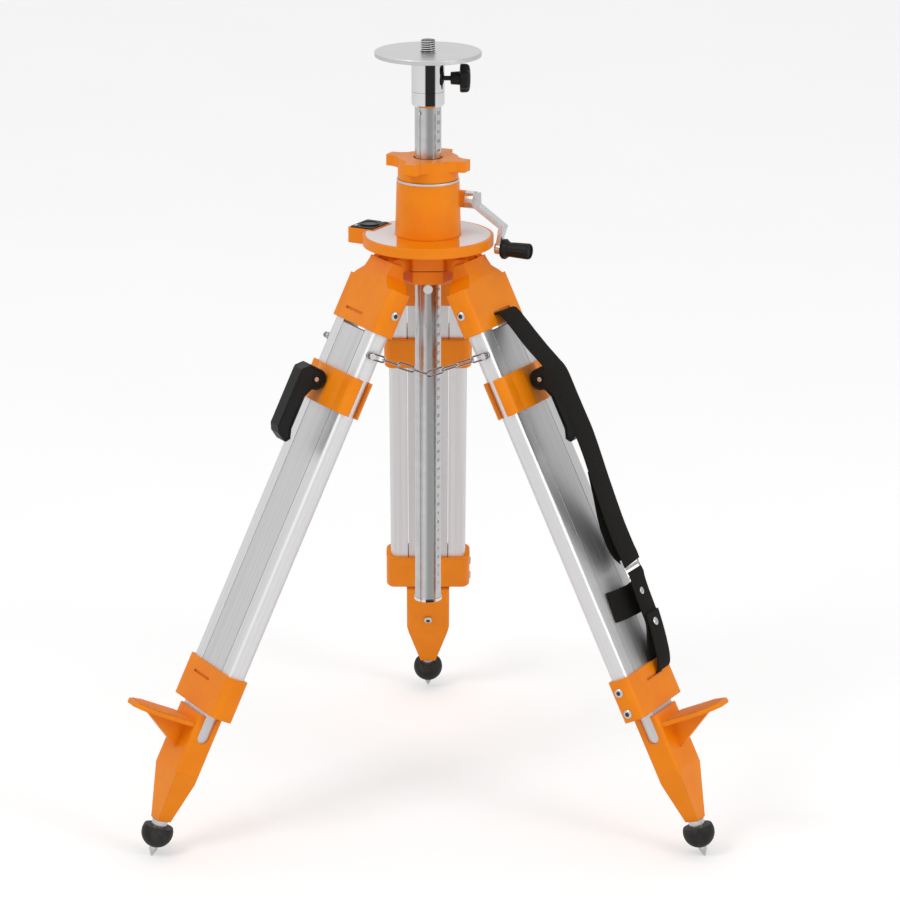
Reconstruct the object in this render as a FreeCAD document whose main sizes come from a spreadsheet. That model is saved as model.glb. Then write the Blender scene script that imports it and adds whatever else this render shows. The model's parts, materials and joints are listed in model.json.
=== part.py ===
import FreeCAD, Part
import Sketcher
import math
import os
import re

# Elevating tripod for a laser level: three folding, extending legs round a hub,
# and a column that a crank raises through a rack and pinion.
# Heights in the sheet are above the ground; the row's origin is the top of the instrument plate.

Vector = FreeCAD.Vector
doc = FreeCAD.newDocument("LevelTripod")

SIZES = {
    # whole stand
    "head_height": 835.0,
    "leg_slope": 26.55,
    "running_gap": 0.05,
    "fitting_gap": 0.3,
    # instrument plate and column head
    "plate_radius": 56.0,
    "plate_thickness": 5.0,
    "stud_radius": 7.94,
    "stud_neck_radius": 7.4,
    "stud_height": 12.0,
    "stud_flange_radius": 12.0,
    "stud_flange_thickness": 5.0,
    "sleeve_radius": 17.4,
    "sleeve_foot": 793.3,
    "spigot_radius": 10.0,
    "spigot_top": 818.0,
    "ring_foot": 777.6,
    "ring_top": 793.0,
    # knob that locks the turning head
    "knob_height": 806.4,
    "knob_stem_radius": 2.5,
    "knob_hub_radius": 6.6,
    "knob_core_radius": 12.0,
    "knob_lobe_radius": 4.0,
    "knob_lobe_orbit": 11.2,
    "knob_start": 24.0,
    "knob_face": 34.0,
    "knob_end": 44.5,
    # column
    "column_radius": 14.0,
    "column_bore": 12.0,
    "column_foot": 233.5,
    "column_socket": 786.0,
    "end_cap_radius": 15.0,
    "end_cap_foot": 230.6,
    "key_groove_radius": 1.0,
    "key_groove_angle": 170.0,
    # rack and pinion
    "tooth_module": 1.25,
    "pressure_angle": 25.0,
    "pinion_teeth": 12,
    "gear_backlash": 0.12,
    "rack_line": 11.6,
    "rack_back": 8.6,
    "rack_width": 8.0,
    "rack_foot": 250.0,
    "rack_top": 745.0,
    "crank_height": 676.5,
    "crank_angle": -25.0,
    "pinion_width": 7.2,
    "shaft_radius": 5.0,
    # crank: distances along the shaft from the pinion's middle
    "crank_hub_start": 36.0,
    "crank_hub_end": 46.5,
    "crank_hub_radius": 9.25,
    "crank_throw": 49.5,
    "arm_half_width": 5.0,
    "arm_bend_along": 79.0,
    "arm_bend_drop": 25.0,
    "arm_eye_radius": 6.4,
    "arm_eye_start": 70.6,
    "arm_eye_end": 77.5,
    "grip_start": 78.0,
    "grip_flange_end": 88.0,
    "grip_end": 110.0,
    "grip_radius": 8.2,
    "grip_flange_radius": 10.5,
    "grip_pin_radius": 3.0,
    # star nut, washer ring, collet and gear housing
    "nut_radius": 32.0,
    "nut_foot": 700.3,
    "nut_top": 722.5,
    "nut_bore": 15.4,
    "lug_foot": 711.0,
    "lug_tip": 45.7,
    "lug_tip_half": 8.0,
    "lug_root_half": 15.0,
    "ring_thickness": 2.4,
    "ring_radius": 33.2,
    "spigot_thread_radius": 24.0,
    "housing_spigot_top": 711.0,
    "collet_foot": 699.0,
    "collet_top": 715.0,
    "collet_radius": 19.0,
    "housing_foot": 639.6,
    "housing_top": 697.7,
    "housing_foot_radius": 34.9,
    "housing_top_radius": 33.2,
    # platform
    "disc_radius": 69.5,
    "disc_foot": 628.0,
    "disc_top": 639.5,
    "sheet_radius": 66.3,
    "sheet_thickness": 0.8,
    "front_panel_half": 33.0,
    "hub_apothem": 28.0,
    "hub_foot": 605.4,
    "cap_foot": 590.0,
    "hub_bore": 16.0,
    "hub_bolt_orbit": 24.0,
    "hub_bolt_shank": 2.5,
    "hub_bolt_head": 4.2,
    "guide_screw_drop": 5.5,
    "guide_screw_head": 5.0,
    "guide_screw_shank": 2.0,
    "level_angle": 150.0,
    "level_radius": 72.0,
    "level_length": 40.0,
    "level_depth": 32.0,
    "level_top": 641.5,
    "level_plate_length": 36.0,
    "level_plate_depth": 27.0,
    "vial_radius": 8.25,
    # leg hinge
    "hinge_radius": 48.5,
    "hinge_height": 612.0,
    "lug_half": 9.0,
    "ear_inside": 9.4,
    "ear_outside": 20.0,
    "neck_half": 24.0,
    "knuckle_radius": 8.0,
    "ear_radius": 9.5,
    "hinge_pin_radius": 4.0,
    "pin_cover": 2.5,
    # leg, measured down from the hinge pin (x outward, y across, z up the leg)
    "leg_half_width": 43.2,
    "leg_half_depth": 10.0,
    "rail_inside": 23.3,
    "rail_wall": 1.7,
    "rail_top": 29.0,
    "rail_foot": 504.0,
    "profile_half": 22.5,
    "profile_top": 74.0,
    "profile_foot": 571.0,
    "casting_half": 48.4,
    "casting_depth": 13.3,
    "socket_top": 22.0,
    "socket_foot": 71.0,
    "clamp_top": 122.0,
    "clamp_foot": 162.6,
    "collar_top": 463.0,
    "collar_foot": 509.0,
    "screw_head": 4.2,
    "screw_shank": 2.5,
    "screw_out": -2.0,
    "bracket_screw_drop": 47.0,
    "collar_screw_high": 476.0,
    "collar_screw_low": 500.0,
    "upper_slot_drop": 58.0,
    "lower_slot_drop": 477.0,
    "bolt_drop": 94.6,
    "bolt_out": 6.0,
    "bolt_shank": 1.2,
    "bolt_head": 3.2,
    "bolt_head_start": 7.0,
    "bolt_head_end": 9.0,
    "clamp_bolt_radius": 3.0,
    "lever_drop": 140.0,
    "lever_out": 32.0,
    "lever_hub_radius": 11.5,
    "lever_half": 8.4,
    "lever_slot_half": 4.2,
    "lever_reach": 54.0,
    "lever_end": 214.0,
    "foot_top": 513.5,
    "notch_foot": 543.0,
    "sleeve_end": 578.0,
    "foot_end": 639.0,
    "foot_half": 25.0,
    "foot_depth": 14.5,
    "foot_tip_half": 8.0,
    "foot_tip_in": -12.8,
    "foot_tip_out": 2.0,
    "notch_half": 7.0,
    "foot_screw_drop": 562.0,
    "foot_screw_shank": 2.5,
    "foot_screw_head": 4.6,
    "pedal_top": 524.0,
    "pedal_tip": 84.0,
    "pedal_half": 21.0,
    # spike, measured up its own axis from the point
    "spike_lean": 10.05,
    "spike_tip_out": -12.3,
    "spike_tip_drop": 677.9,
    "spike_radius": 4.5,
    "spike_shoulder": 8.5,
    "spike_shoulder_foot": 20.0,
    "spike_shoulder_top": 41.0,
    "spike_shank": 6.0,
    "spike_top": 64.0,
    "cup_foot": 10.8,
    "cup_centre": 27.0,
    "cup_top": 34.0,
    "cup_radius": 17.0,
    # chain
    "link_wire": 2.0,
    "link_length": 20.5,
    "link_width": 8.0,
    "link_pitch": 16.3,
    "link_first": 6.4,
    "link_last": 7.9,
    "chain_across": 46.7,
    # strap
    "strap_inside": 9.6,
    "strap_outside": 38.0,
    "strap_thickness": 2.4,
    "tie_top": 378.0,
    "tie_foot": 412.0,
    "tie_left": -17.0,
    "tie_right": 33.0,
}

# Each leg's name, its direction from the column and the side its strap slots lean to.
LEGS = (("left", 210.0, 1), ("right", 330.0, -1), ("rear", 90.0, 1))
# Screws through the leg's edges: how far down each one is, and the edges it goes through.
BRACKET_SCREWS = (("bracket_screw_drop", -1), ("bracket_screw_drop", 1))
COLLAR_SCREWS = (("collar_screw_high", -1), ("collar_screw_low", -1))


def fill_sheet():
    sheet = doc.addObject("Spreadsheet::Sheet", "Dims")
    for row, (name, value) in enumerate(SIZES.items(), start=1):
        sheet.set(f"A{row}", name)
        sheet.set(f"B{row}", str(value))
        sheet.setAlias(f"B{row}", name)
    doc.recompute()
    return sheet


dims = fill_sheet()


def size(name):
    return float(dims.get(name))


def formula(text):
    """Make a formula in plain size names read the sheet."""
    def cell(found):
        word = found.group()
        return f"Dims.{word}" if word in SIZES else word
    return re.sub(r"[A-Za-z_]\w*", cell, str(text))


def span(low, high):
    return f"({high}) - ({low})"


# ---------------------------------------------------------------- building blocks

TURNS = {
    "x": FreeCAD.Rotation(Vector(0, 1, 0), 90),
    "y": FreeCAD.Rotation(Vector(1, 0, 0), -90),
    "z": FreeCAD.Rotation(),
}
PLANES = {"x": "YZ_Plane", "y": "XZ_Plane", "z": "XY_Plane"}


def move(item, spot):
    for axis, text in zip("xyz", spot):
        item.setExpression(f"Placement.Base.{axis}", formula(text))
    return item


def box(name, x, y, z):
    item = doc.addObject("Part::Box", name)
    for side, limits in (("Length", x), ("Width", y), ("Height", z)):
        item.setExpression(side, formula(span(*limits)))
    return move(item, (x[0], y[0], z[0]))


def spot_on(axis, centre, low):
    spot = list(centre)
    spot.insert("xyz".index(axis), low)
    return spot


def rod(name, axis, radius, low, high, centre=("0", "0")):
    """A cylinder along an axis; centre holds its other two coordinates."""
    item = doc.addObject("Part::Cylinder", name)
    item.setExpression("Radius", formula(radius))
    item.setExpression("Height", formula(span(low, high)))
    item.Placement = FreeCAD.Placement(Vector(), TURNS[axis])
    return move(item, spot_on(axis, centre, low))


def taper(name, axis, start_radius, end_radius, low, high, centre=("0", "0")):
    item = doc.addObject("Part::Cone", name)
    item.setExpression("Radius1", formula(start_radius))
    item.setExpression("Radius2", formula(end_radius))
    item.setExpression("Height", formula(span(low, high)))
    item.Placement = FreeCAD.Placement(Vector(), TURNS[axis])
    return move(item, spot_on(axis, centre, low))


def join(name, *items):
    item = doc.addObject("Part::MultiFuse", name)
    item.Shapes = list(items)
    return item


def cut(name, base, *tools):
    item = doc.addObject("Part::Cut", name)
    item.Base = base
    item.Tool = tools[0] if len(tools) == 1 else join(f"{name}_tools", *tools)
    return item


def overlap(name, first, second):
    item = doc.addObject("Part::MultiCommon", name)
    item.Shapes = [first, second]
    return item


def group(name, *items):
    """Separate solids that share one node."""
    item = doc.addObject("Part::Compound", name)
    item.Links = list(items)
    return item


def ring(name, axis, outer, inner, low, high, centre=("0", "0")):
    return cut(name, rod(f"{name}_outside", axis, outer, low, high, centre),
               rod(f"{name}_bore", axis, inner, f"({low}) - 1", f"({high}) + 1", centre))


def prism(name, axis, corners, low, high):
    """A body padded along an axis from an outline whose corners are formulas."""
    body = doc.addObject("PartDesign::Body", name)
    plane = next(f for f in body.Origin.OriginFeatures if f.Role == PLANES[axis])
    sketch = body.newObject("Sketcher::SketchObject", f"{name}_outline")
    sketch.AttachmentSupport = (plane, [""])
    sketch.MapMode = "FlatFace"
    start = f"-({high})" if axis == "y" else low
    sketch.setExpression("AttachmentOffset.Base.z", formula(start))
    draw_outline(sketch, corners)
    pad = body.newObject("PartDesign::Pad", f"{name}_pad")
    pad.Profile = sketch
    pad.setExpression("Length", formula(span(low, high)))
    body.Tip = pad
    return body


def draw_outline(sketch, corners):
    """Close a chain of lines and tie each corner to its two formulas."""
    spots = [Vector(value_of(x), value_of(y), 0) for x, y in corners]
    count = len(spots)
    for i in range(count):
        sketch.addGeometry(Part.LineSegment(spots[i], spots[(i + 1) % count]), False)
    for i in range(count):
        sketch.addConstraint(Sketcher.Constraint("Coincident", i, 2, (i + 1) % count, 1))
    for i, corner in enumerate(corners):
        for kind, text, value in (("DistanceX", corner[0], spots[i].x),
                                  ("DistanceY", corner[1], spots[i].y)):
            number = sketch.addConstraint(Sketcher.Constraint(kind, -1, 1, i, 1, value))
            if re.search(r"[A-Za-z]", str(text)):
                sketch.setExpression(f"Constraints[{number}]", formula(text))


def value_of(text):
    """Work out a formula once, to draw an outline near where its constraints put it."""
    probe = dims.evalExpression(formula(text).replace("Dims.", ""))
    return float(probe)


def soften(name, item, radius, choose):
    """Round the edges that choose picks."""
    doc.recompute()
    fillet = doc.addObject("Part::Fillet", name)
    fillet.Base = item
    picked = [n for n, edge in enumerate(item.Shape.Edges, start=1) if choose(edge)]
    fillet.Edges = [(n, radius, radius) for n in picked]
    return fillet


def straight_along(axis):
    """Pick straight edges that run along an axis."""
    way = Vector(*[float(axis == letter) for letter in "xyz"])

    def choose(edge):
        if not isinstance(edge.Curve, Part.Line):
            return False
        return abs(edge.Curve.Direction.dot(way)) > 0.999
    return choose


def both(*tests):
    return lambda edge: all(test(edge) for test in tests)


def beyond(axis, limit):
    """Pick edges whose middle lies further out than limit on either side."""
    return lambda edge: abs(getattr(edge.CenterOfMass, axis)) > limit


def below(limit):
    return lambda edge: edge.CenterOfMass.z < limit


finished = []


def finish(item, label, placement):
    item.Label = label
    item.Placement = placement
    finished.append(item)
    return item


def stand_frame(angle=0.0):
    """Ground-based coordinates, turned about the column."""
    return FreeCAD.Placement(Vector(0, 0, -size("head_height")), FreeCAD.Rotation(Vector(0, 0, 1), angle))


def leg_frame(angle):
    """Origin on the hinge pin: x outward from the leg, y across it, z up it."""
    reach = FreeCAD.Placement(Vector(size("hinge_radius"), 0, size("hinge_height")), FreeCAD.Rotation())
    lean = FreeCAD.Placement(Vector(), FreeCAD.Rotation(Vector(0, 1, 0), -size("leg_slope")))
    return stand_frame(angle).multiply(reach).multiply(lean)


def crank_frame():
    """Origin in the middle of the pinion: z along the shaft, y down the crank, x towards the column."""
    turn = FreeCAD.Rotation(Vector(0, 0, 1), size("crank_angle"))
    along = turn.multVec(Vector(1, 0, 0))
    across = turn.multVec(Vector(0, 1, 0))
    offset = size("rack_line") + size("tooth_module") * size("pinion_teeth") / 2
    spot = across * offset + Vector(0, 0, size("crank_height") - size("head_height"))
    return FreeCAD.Placement(spot, FreeCAD.Rotation(across * -1, Vector(0, 0, -1), along, "ZXY"))


def spike_frame(angle):
    """Origin at the spike's point, z up the spike, which stands steeper than the leg."""
    point = Vector(size("spike_tip_out"), 0, -size("spike_tip_drop"))
    lean = FreeCAD.Rotation(Vector(0, 1, 0), size("spike_lean"))
    return leg_frame(angle).multiply(FreeCAD.Placement(point, lean))


# ---------------------------------------------------------------- instrument head

def instrument_plate():
    disc = rod("plate_disc", "z", "plate_radius", "head_height - plate_thickness", "head_height")
    rounded = soften("plate_rounded", disc, 0.8, lambda edge: edge.Length > 100)
    bore = rod("plate_bore", "z", "stud_radius + running_gap", "head_height - 10", "head_height + 1")
    return cut("plate", rounded, bore)


def instrument_stud():
    thread = rod("stud_thread", "z", "stud_radius", "head_height", "head_height + stud_height")
    neck = rod("stud_neck", "z", "stud_neck_radius", "head_height - plate_thickness - 1", "head_height + 1")
    flange_top = "head_height - plate_thickness"
    flange = rod("stud_flange", "z", "stud_flange_radius",
                 f"{flange_top} - stud_flange_thickness", f"{flange_top} - running_gap")
    return join("stud", thread, neck, flange)


def head_sleeve():
    top = "head_height - plate_thickness"
    body = rod("sleeve_body", "z", "sleeve_radius", "sleeve_foot", top)
    pocket = rod("sleeve_pocket", "z", "spigot_radius + running_gap", "sleeve_foot - 1", "spigot_top + 0.5")
    seat = rod("sleeve_seat", "z", "stud_flange_radius + running_gap",
               f"{top} - stud_flange_thickness - running_gap", f"{top} + 1")
    screw_hole = rod("sleeve_screw_hole", "x", "knob_stem_radius + running_gap", "0", "sleeve_radius + 5",
                     ("0", "knob_height"))
    return cut("sleeve", body, pocket, seat, screw_hole)


def lock_knob():
    """Hand knob whose threaded stem runs in the spigot's groove."""
    level = ("0", "knob_height")
    stem = rod("knob_stem", "x", "knob_stem_radius", "spigot_radius - 1.3", "knob_start + 1", level)
    hub = taper("knob_hub", "x", "knob_hub_radius", "knob_hub_radius + 1", "knob_start", "knob_face", level)
    core = rod("knob_core", "x", "knob_core_radius", "knob_face", "knob_end", level)
    lobes = []
    for n in range(6):
        turn = f"{60 * n} deg"
        centre = (f"knob_lobe_orbit * cos({turn})", f"knob_height + knob_lobe_orbit * sin({turn})")
        lobes.append(rod(f"knob_lobe_{n}", "x", "knob_lobe_radius", "knob_face", "knob_end", centre))
    return join("knob", stem, hub, core, *lobes)


# ---------------------------------------------------------------- column

def column_tube():
    """Tube with a slot that holds the rack on the +x side and a key groove along it."""
    outside = rod("tube_outside", "z", "column_radius", "column_foot", "column_socket")
    bore = rod("tube_bore", "z", "column_bore", "column_foot - 1", "column_socket + 1")
    slot = box("tube_slot", ("rack_back", "column_radius + 1"),
               ("-rack_width / 2 - running_gap", "rack_width / 2 + running_gap"),
               ("rack_foot - running_gap", "rack_top + running_gap"))
    groove = rod("tube_groove", "z", "key_groove_radius", "column_foot - 1", "ring_foot - 2",
                 groove_centre("column_radius"))
    screw_hole = rod("tube_screw_hole", "z", "key_groove_radius + 0.8", "ring_foot - 8.1", "ring_foot - 4.9",
                     groove_centre("column_radius + 0.1"))
    return cut("tube", outside, bore, slot, groove, screw_hole)


def groove_centre(radius):
    return (f"({radius}) * cos(key_groove_angle * 1 deg)", f"({radius}) * sin(key_groove_angle * 1 deg)")


def column_fittings():
    """Plated ring with the spigot the head turns on, the end cap and the stop screw."""
    ring_body = rod("ring_body", "z", "sleeve_radius", "ring_foot + 2", "ring_top")
    ring_bevel = taper("ring_bevel", "z", "sleeve_radius - 1.6", "sleeve_radius", "ring_foot",
                       "ring_foot + 2")
    spigot = rod("spigot", "z", "spigot_radius", "ring_top - 1", "spigot_top")
    plug = rod("ring_plug", "z", "column_bore - running_gap", "rack_top + 4", "column_socket + 1")
    socket = ring("ring_socket", "z", "column_radius + running_gap", "column_bore - running_gap - 0.01",
                  "ring_foot - 1", "column_socket + running_gap")
    groove = ring("spigot_groove", "z", "spigot_radius + 1", "spigot_radius - 1.5",
                  "knob_height - 2.8", "knob_height + 2.8")
    top = cut("column_top", join("column_top_solid", ring_body, ring_bevel, spigot, plug), socket, groove)
    cap_rim = rod("cap_rim", "z", "end_cap_radius", "end_cap_foot", "column_foot - running_gap")
    cap_plug = rod("cap_plug", "z", "column_bore - running_gap", "end_cap_foot + 1", "rack_foot - 2")
    cap = join("end_cap", cap_rim, cap_plug)
    stop = rod("stop_screw", "z", "key_groove_radius + 0.7", "ring_foot - 8", "ring_foot - 5",
               groove_centre("column_radius + 0.1"))
    return group("column_fittings", top, cap, stop)


def rack_outline():
    """Tooth flanks of the rack, a space centred on the crank height."""
    pitch = math.pi * size("tooth_module")
    lean = math.tan(math.radians(size("pressure_angle")))
    line = size("rack_line")
    tip = line + size("tooth_module")
    root = line - 1.25 * size("tooth_module")
    slack = size("gear_backlash") / 2
    first = math.ceil((size("rack_foot") + 2 - size("crank_height")) / pitch)
    last = math.floor((size("rack_top") - 2 - size("crank_height")) / pitch)
    points = [(size("rack_back") + 0.1, size("rack_foot")), (root, size("rack_foot"))]
    for n in range(first, last):
        middle = size("crank_height") + (n + 0.5) * pitch
        half = pitch / 4 - slack
        foot_half = half + (line - root) * lean
        tip_half = half - (tip - line) * lean
        points += [(root, middle - foot_half), (tip, middle - tip_half)]
        points += [(tip, middle + tip_half), (root, middle + foot_half)]
    points += [(root, size("rack_top")), (size("rack_back") + 0.1, size("rack_top"))]
    return points


def extrude_points(points, start, way):
    """Solid from a closed outline of vectors, moved by start and swept along way."""
    wire = Part.makePolygon([point + start for point in points + points[:1]])
    return Part.Face(wire).extrude(way)


def column_rack():
    item = doc.addObject("Part::Feature", "rack")
    width = size("rack_width")
    corners = [Vector(x, 0, z) for x, z in rack_outline()]
    item.Shape = extrude_points(corners, Vector(0, -width / 2, 0), Vector(0, width, 0))
    return item


def involute(base, radius):
    """Polar angle of an involute where it reaches a radius."""
    swing = math.sqrt(max((radius / base) ** 2 - 1, 0))
    return swing - math.atan(swing)


def gear_outline():
    """Involute teeth, one centred on +x."""
    module = size("tooth_module")
    count = int(size("pinion_teeth"))
    pitch_radius = module * count / 2
    base = pitch_radius * math.cos(math.radians(size("pressure_angle")))
    tip = pitch_radius + module
    root = pitch_radius - 1.25 * module
    half = math.pi / (2 * count) - size("gear_backlash") / (2 * pitch_radius) + involute(base, pitch_radius)
    steps = 5
    flank = [(base + (tip - base) * n / steps) for n in range(steps + 1)]
    points = []
    for tooth in range(count):
        middle = 2 * math.pi * tooth / count
        rising = [(root, middle - half)] + [(r, middle - half + involute(base, r)) for r in flank]
        falling = [(r, 2 * middle - angle) for r, angle in reversed(rising)]
        points += rising + falling
    return [Vector(r * math.cos(angle), r * math.sin(angle), 0) for r, angle in points]


def pinion_shaft():
    """Pinion cut on its shaft, which ends in the crank's socket."""
    item = doc.addObject("Part::Feature", "pinion")
    width = size("pinion_width")
    teeth = extrude_points(gear_outline(), Vector(0, 0, -width / 2), Vector(0, 0, width))
    inner = Part.makeCylinder(size("shaft_radius"), 10.5, Vector(0, 0, -14))
    outer = Part.makeCylinder(size("shaft_radius"), size("crank_hub_end") - 5, Vector(0, 0, 2.5))
    item.Shape = teeth.fuse([inner, outer]).removeSplitter()
    return item


# ---------------------------------------------------------------- crank (crank frame)

def crank_arm():
    """Hub, a cranked flat arm and the eye that carries the grip pin."""
    hub = rod("crank_hub", "z", "crank_hub_radius", "crank_hub_start", "crank_hub_end")
    corners = [
        ("-crank_hub_radius + 1.5", "crank_hub_end - 6"), ("-crank_hub_radius + 1.5", "crank_hub_end + 4"),
        ("4", "crank_hub_end + 4.5"), ("arm_bend_drop", "arm_bend_along + 3"),
        ("crank_throw - grip_flange_radius - 1", "arm_eye_end"), ("crank_throw", "arm_eye_end"),
        ("crank_throw", "arm_eye_end - 6"),
        ("arm_bend_drop + 2", "arm_bend_along - 4"), ("5", "crank_hub_end - 4"),
    ]
    web = prism("crank_web", "x", corners, "-arm_half_width", "arm_half_width")
    eye = rod("crank_eye", "z", "arm_eye_radius", "arm_eye_start", "arm_eye_end", ("0", "crank_throw"))
    pin = rod("crank_pin", "z", "grip_pin_radius", "arm_eye_end - 1", "grip_end - 3", ("0", "crank_throw"))
    socket = rod("crank_socket", "z", "shaft_radius + running_gap", "crank_hub_start - 1",
                 "crank_hub_end - 2.4")
    return cut("crank", join("crank_solid", hub, web, eye, pin), socket)


def crank_grip():
    centre = ("0", "crank_throw")
    flange = rod("grip_flange", "z", "grip_flange_radius", "grip_start", "grip_flange_end - 4", centre)
    neck = taper("grip_neck", "z", "grip_flange_radius", "grip_radius", "grip_flange_end - 4",
                 "grip_flange_end", centre)
    body = rod("grip_body", "z", "grip_radius", "grip_flange_end", "grip_end", centre)
    bore = rod("grip_bore", "z", "grip_pin_radius + running_gap", "grip_start - 1", "grip_end - 2.8", centre)
    return cut("grip", join("grip_solid", flange, neck, body), bore)


# ---------------------------------------------------------------- star nut and gear housing

def star_nut():
    """Turned so that one lug points along +x."""
    body = rod("nut_body", "z", "nut_radius", "nut_foot", "nut_top")
    along = prism("nut_lugs_x", "z", lug_pair("x"), "lug_foot", "nut_top")
    across = prism("nut_lugs_y", "z", lug_pair("y"), "lug_foot", "nut_top")
    star = join("nut_star", body, *[rounded_tips(f"{lugs.Name}_round", lugs) for lugs in (along, across)])
    bore = rod("nut_bore_cut", "z", "nut_bore", "nut_foot - 1", "nut_top + 1")
    thread = rod("nut_thread", "z", "spigot_thread_radius + running_gap", "nut_foot - 1",
                 "housing_spigot_top + 0.3")
    cone = taper("nut_cone", "z", "collet_radius + 1.5", "nut_bore", "housing_spigot_top", "nut_top - 3")
    return cut("nut", star, bore, thread, cone)


def lug_pair(axis):
    """A bar with two narrow ends and a waist as wide as the lugs' roots."""
    half = [("lug_tip", "-lug_tip_half"), ("lug_tip", "lug_tip_half"),
            ("nut_radius + 4", "lug_tip_half + 0.8"),
            ("nut_radius - 5", "lug_root_half")]
    other = [(f"-({x})", f"-({y})") for x, y in half]
    start = [("nut_radius - 5", "-lug_root_half"), ("nut_radius + 4", "-lug_tip_half - 0.8")]
    opposite = [(f"-({x})", f"-({y})") for x, y in start]
    points = start + half + opposite + other
    return points if axis == "x" else [(f"-({y})", x) for x, y in points]


def rounded_tips(name, item):
    tip = size("lug_tip") - 1
    return soften(name, item, 2.0, both(straight_along("z"), lambda edge: far_from_axis(edge) > tip))


def far_from_axis(edge):
    return max(abs(edge.CenterOfMass.x), abs(edge.CenterOfMass.y))


def washer_ring():
    return ring("washer", "z", "ring_radius", "spigot_thread_radius + running_gap",
                "housing_top + running_gap", "housing_top + ring_thickness")


def collet():
    """Split sleeve that the nut's cone squeezes onto the column."""
    body = rod("collet_body", "z", "collet_radius", "collet_foot", "collet_top - 4")
    nose = taper("collet_nose", "z", "collet_radius", "collet_radius - 3", "collet_top - 4", "collet_top")
    bore = rod("collet_bore", "z", "column_radius + running_gap", "collet_foot - 1", "collet_top + 1")
    split = box("collet_split", ("-collet_radius - 1", "0"), ("-0.75", "0.75"),
                ("collet_foot + 3", "collet_top + 1"))
    return cut("collet", join("collet_solid", body, nose), bore, split)


def gear_housing():
    """In the stand frame turned so that +x is the crank's direction."""
    axis = ("rack_line + tooth_module * pinion_teeth / 2", "crank_height")
    shell = taper("housing_shell", "z", "housing_foot_radius", "housing_top_radius", "housing_foot",
                  "housing_top")
    spigot = rod("housing_spigot", "z", "spigot_thread_radius", "housing_top - 1", "housing_spigot_top")
    boss = rod("housing_boss", "x", "crank_hub_radius", "5", "crank_hub_start - 0.4", axis)
    bore = rod("housing_bore", "z", "hub_bore", "housing_foot - 1", "collet_foot")
    seat = rod("collet_seat", "z", "collet_radius + running_gap", "collet_foot - running_gap",
               "housing_spigot_top + 1")
    chamber = rod("pinion_chamber", "x", "tooth_module * (pinion_teeth / 2 + 1) + 0.8",
                  "-pinion_width / 2 - 0.4", "pinion_width / 2 + 0.4", axis)
    shaft = rod("shaft_bore", "x", "shaft_radius + running_gap", "-15", "12", axis)
    bush = rod("bush_bore", "x", "shaft_radius + 2 + running_gap", "12 - running_gap", "crank_hub_start",
               axis)
    return cut("housing", join("housing_solid", shell, spigot, boss), bore, seat, chamber, shaft, bush)


def bushes():
    """Column bushes in the hub and the housing, and the crank shaft's bush."""
    low = ring("low_bush", "z", "hub_bore - running_gap", "column_radius + running_gap", "cap_foot + 1",
               "cap_foot + 15")
    high = ring("high_bush", "z", "hub_bore - running_gap", "column_radius + running_gap",
                "housing_foot + 1", "housing_foot + 18")
    axis = ("rack_line + tooth_module * pinion_teeth / 2", "crank_height")
    shaft = ring("shaft_bush", "x", "shaft_radius + 2", "shaft_radius + running_gap",
                 "12", "crank_hub_start - 0.4", axis)
    return group("bushes", low, high, shaft)


# ---------------------------------------------------------------- platform

def hexagon(apothem, twist):
    reach = f"({apothem}) / cos(30 deg)"
    turns = [f"({twist} + {60 * n}) * 1 deg" for n in range(6)]
    return [(f"{reach} * cos({turn})", f"{reach} * sin({turn})") for turn in turns]


def turned(item, angle):
    """Turn a piece built along +x about the column. A plain block is first put in a group."""
    item.Placement = FreeCAD.Placement(Vector(), FreeCAD.Rotation(Vector(0, 0, 1), angle))
    return item


def platform():
    """Disc, hexagonal hub, three hinge lugs and the level's boss, cast in one."""
    disc = soften("disc_round", rod("disc", "z", "disc_radius", "disc_foot", "disc_top"), 1.2,
                  lambda edge: edge.Length > 100)
    hub = prism("hub", "z", hexagon("hub_apothem", 0), "hub_foot", "disc_foot + 1")
    lugs = [hinge_lug(leg, angle) for leg, angle, side in LEGS]
    boss = level_boss()
    solid = join("platform_solid", disc, hub, boss, *lugs)
    bore = rod("platform_bore", "z", "hub_bore", "hub_foot - 1", "disc_top + 1")
    return cut("platform", solid, bore, sheet_recess(), level_pocket(), *platform_screw_holes())


def hinge_lug(leg, angle):
    web = prism(f"{leg}_lug_web", "y", [
        ("hub_apothem - 6", "hub_foot"), ("hinge_radius", "hinge_height - knuckle_radius"),
        ("hinge_radius", "disc_foot + 1"), ("hub_apothem - 6", "disc_foot + 1")], "-lug_half", "lug_half")
    eye = rod(f"{leg}_lug_eye", "y", "knuckle_radius", "-lug_half", "lug_half",
              ("hinge_radius", "hinge_height"))
    hole = rod(f"{leg}_lug_hole", "y", "hinge_pin_radius + running_gap", "-lug_half - 1", "lug_half + 1",
               ("hinge_radius", "hinge_height"))
    return turned(cut(f"{leg}_lug", join(f"{leg}_lug_solid", web, eye), hole), angle)


def level_boss():
    block = box("level_block", ("level_radius - level_depth / 2", "level_radius + level_depth / 2"),
                ("-level_length / 2", "level_length / 2"), ("disc_foot - 4", "level_top - 1.2"))
    return turned(soften("level_block_round", block, 3.0, straight_along("z")), size("level_angle"))


def level_pocket():
    """Holes for the vial's body and the level plate's screws."""
    hole = rod("vial_hole", "z", "vial_radius + running_gap", "level_top - 9.1", "level_top + 1",
               ("level_radius", "0"))
    return turned(join("vial_pocket", hole, *screw_holes_for_level()), size("level_angle"))


def screw_holes_for_level():
    return [rod(f"level_hole_{n}", "z", "1.2 + running_gap", "level_top - 6.1", "level_top + 1", spot)
            for n, spot in enumerate(level_screw_spots())]


def level_screw_spots():
    side = "level_plate_length / 2 - 4.5"
    return [("level_radius + 8.5", side), ("level_radius - 8.5", f"-({side})")]


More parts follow.
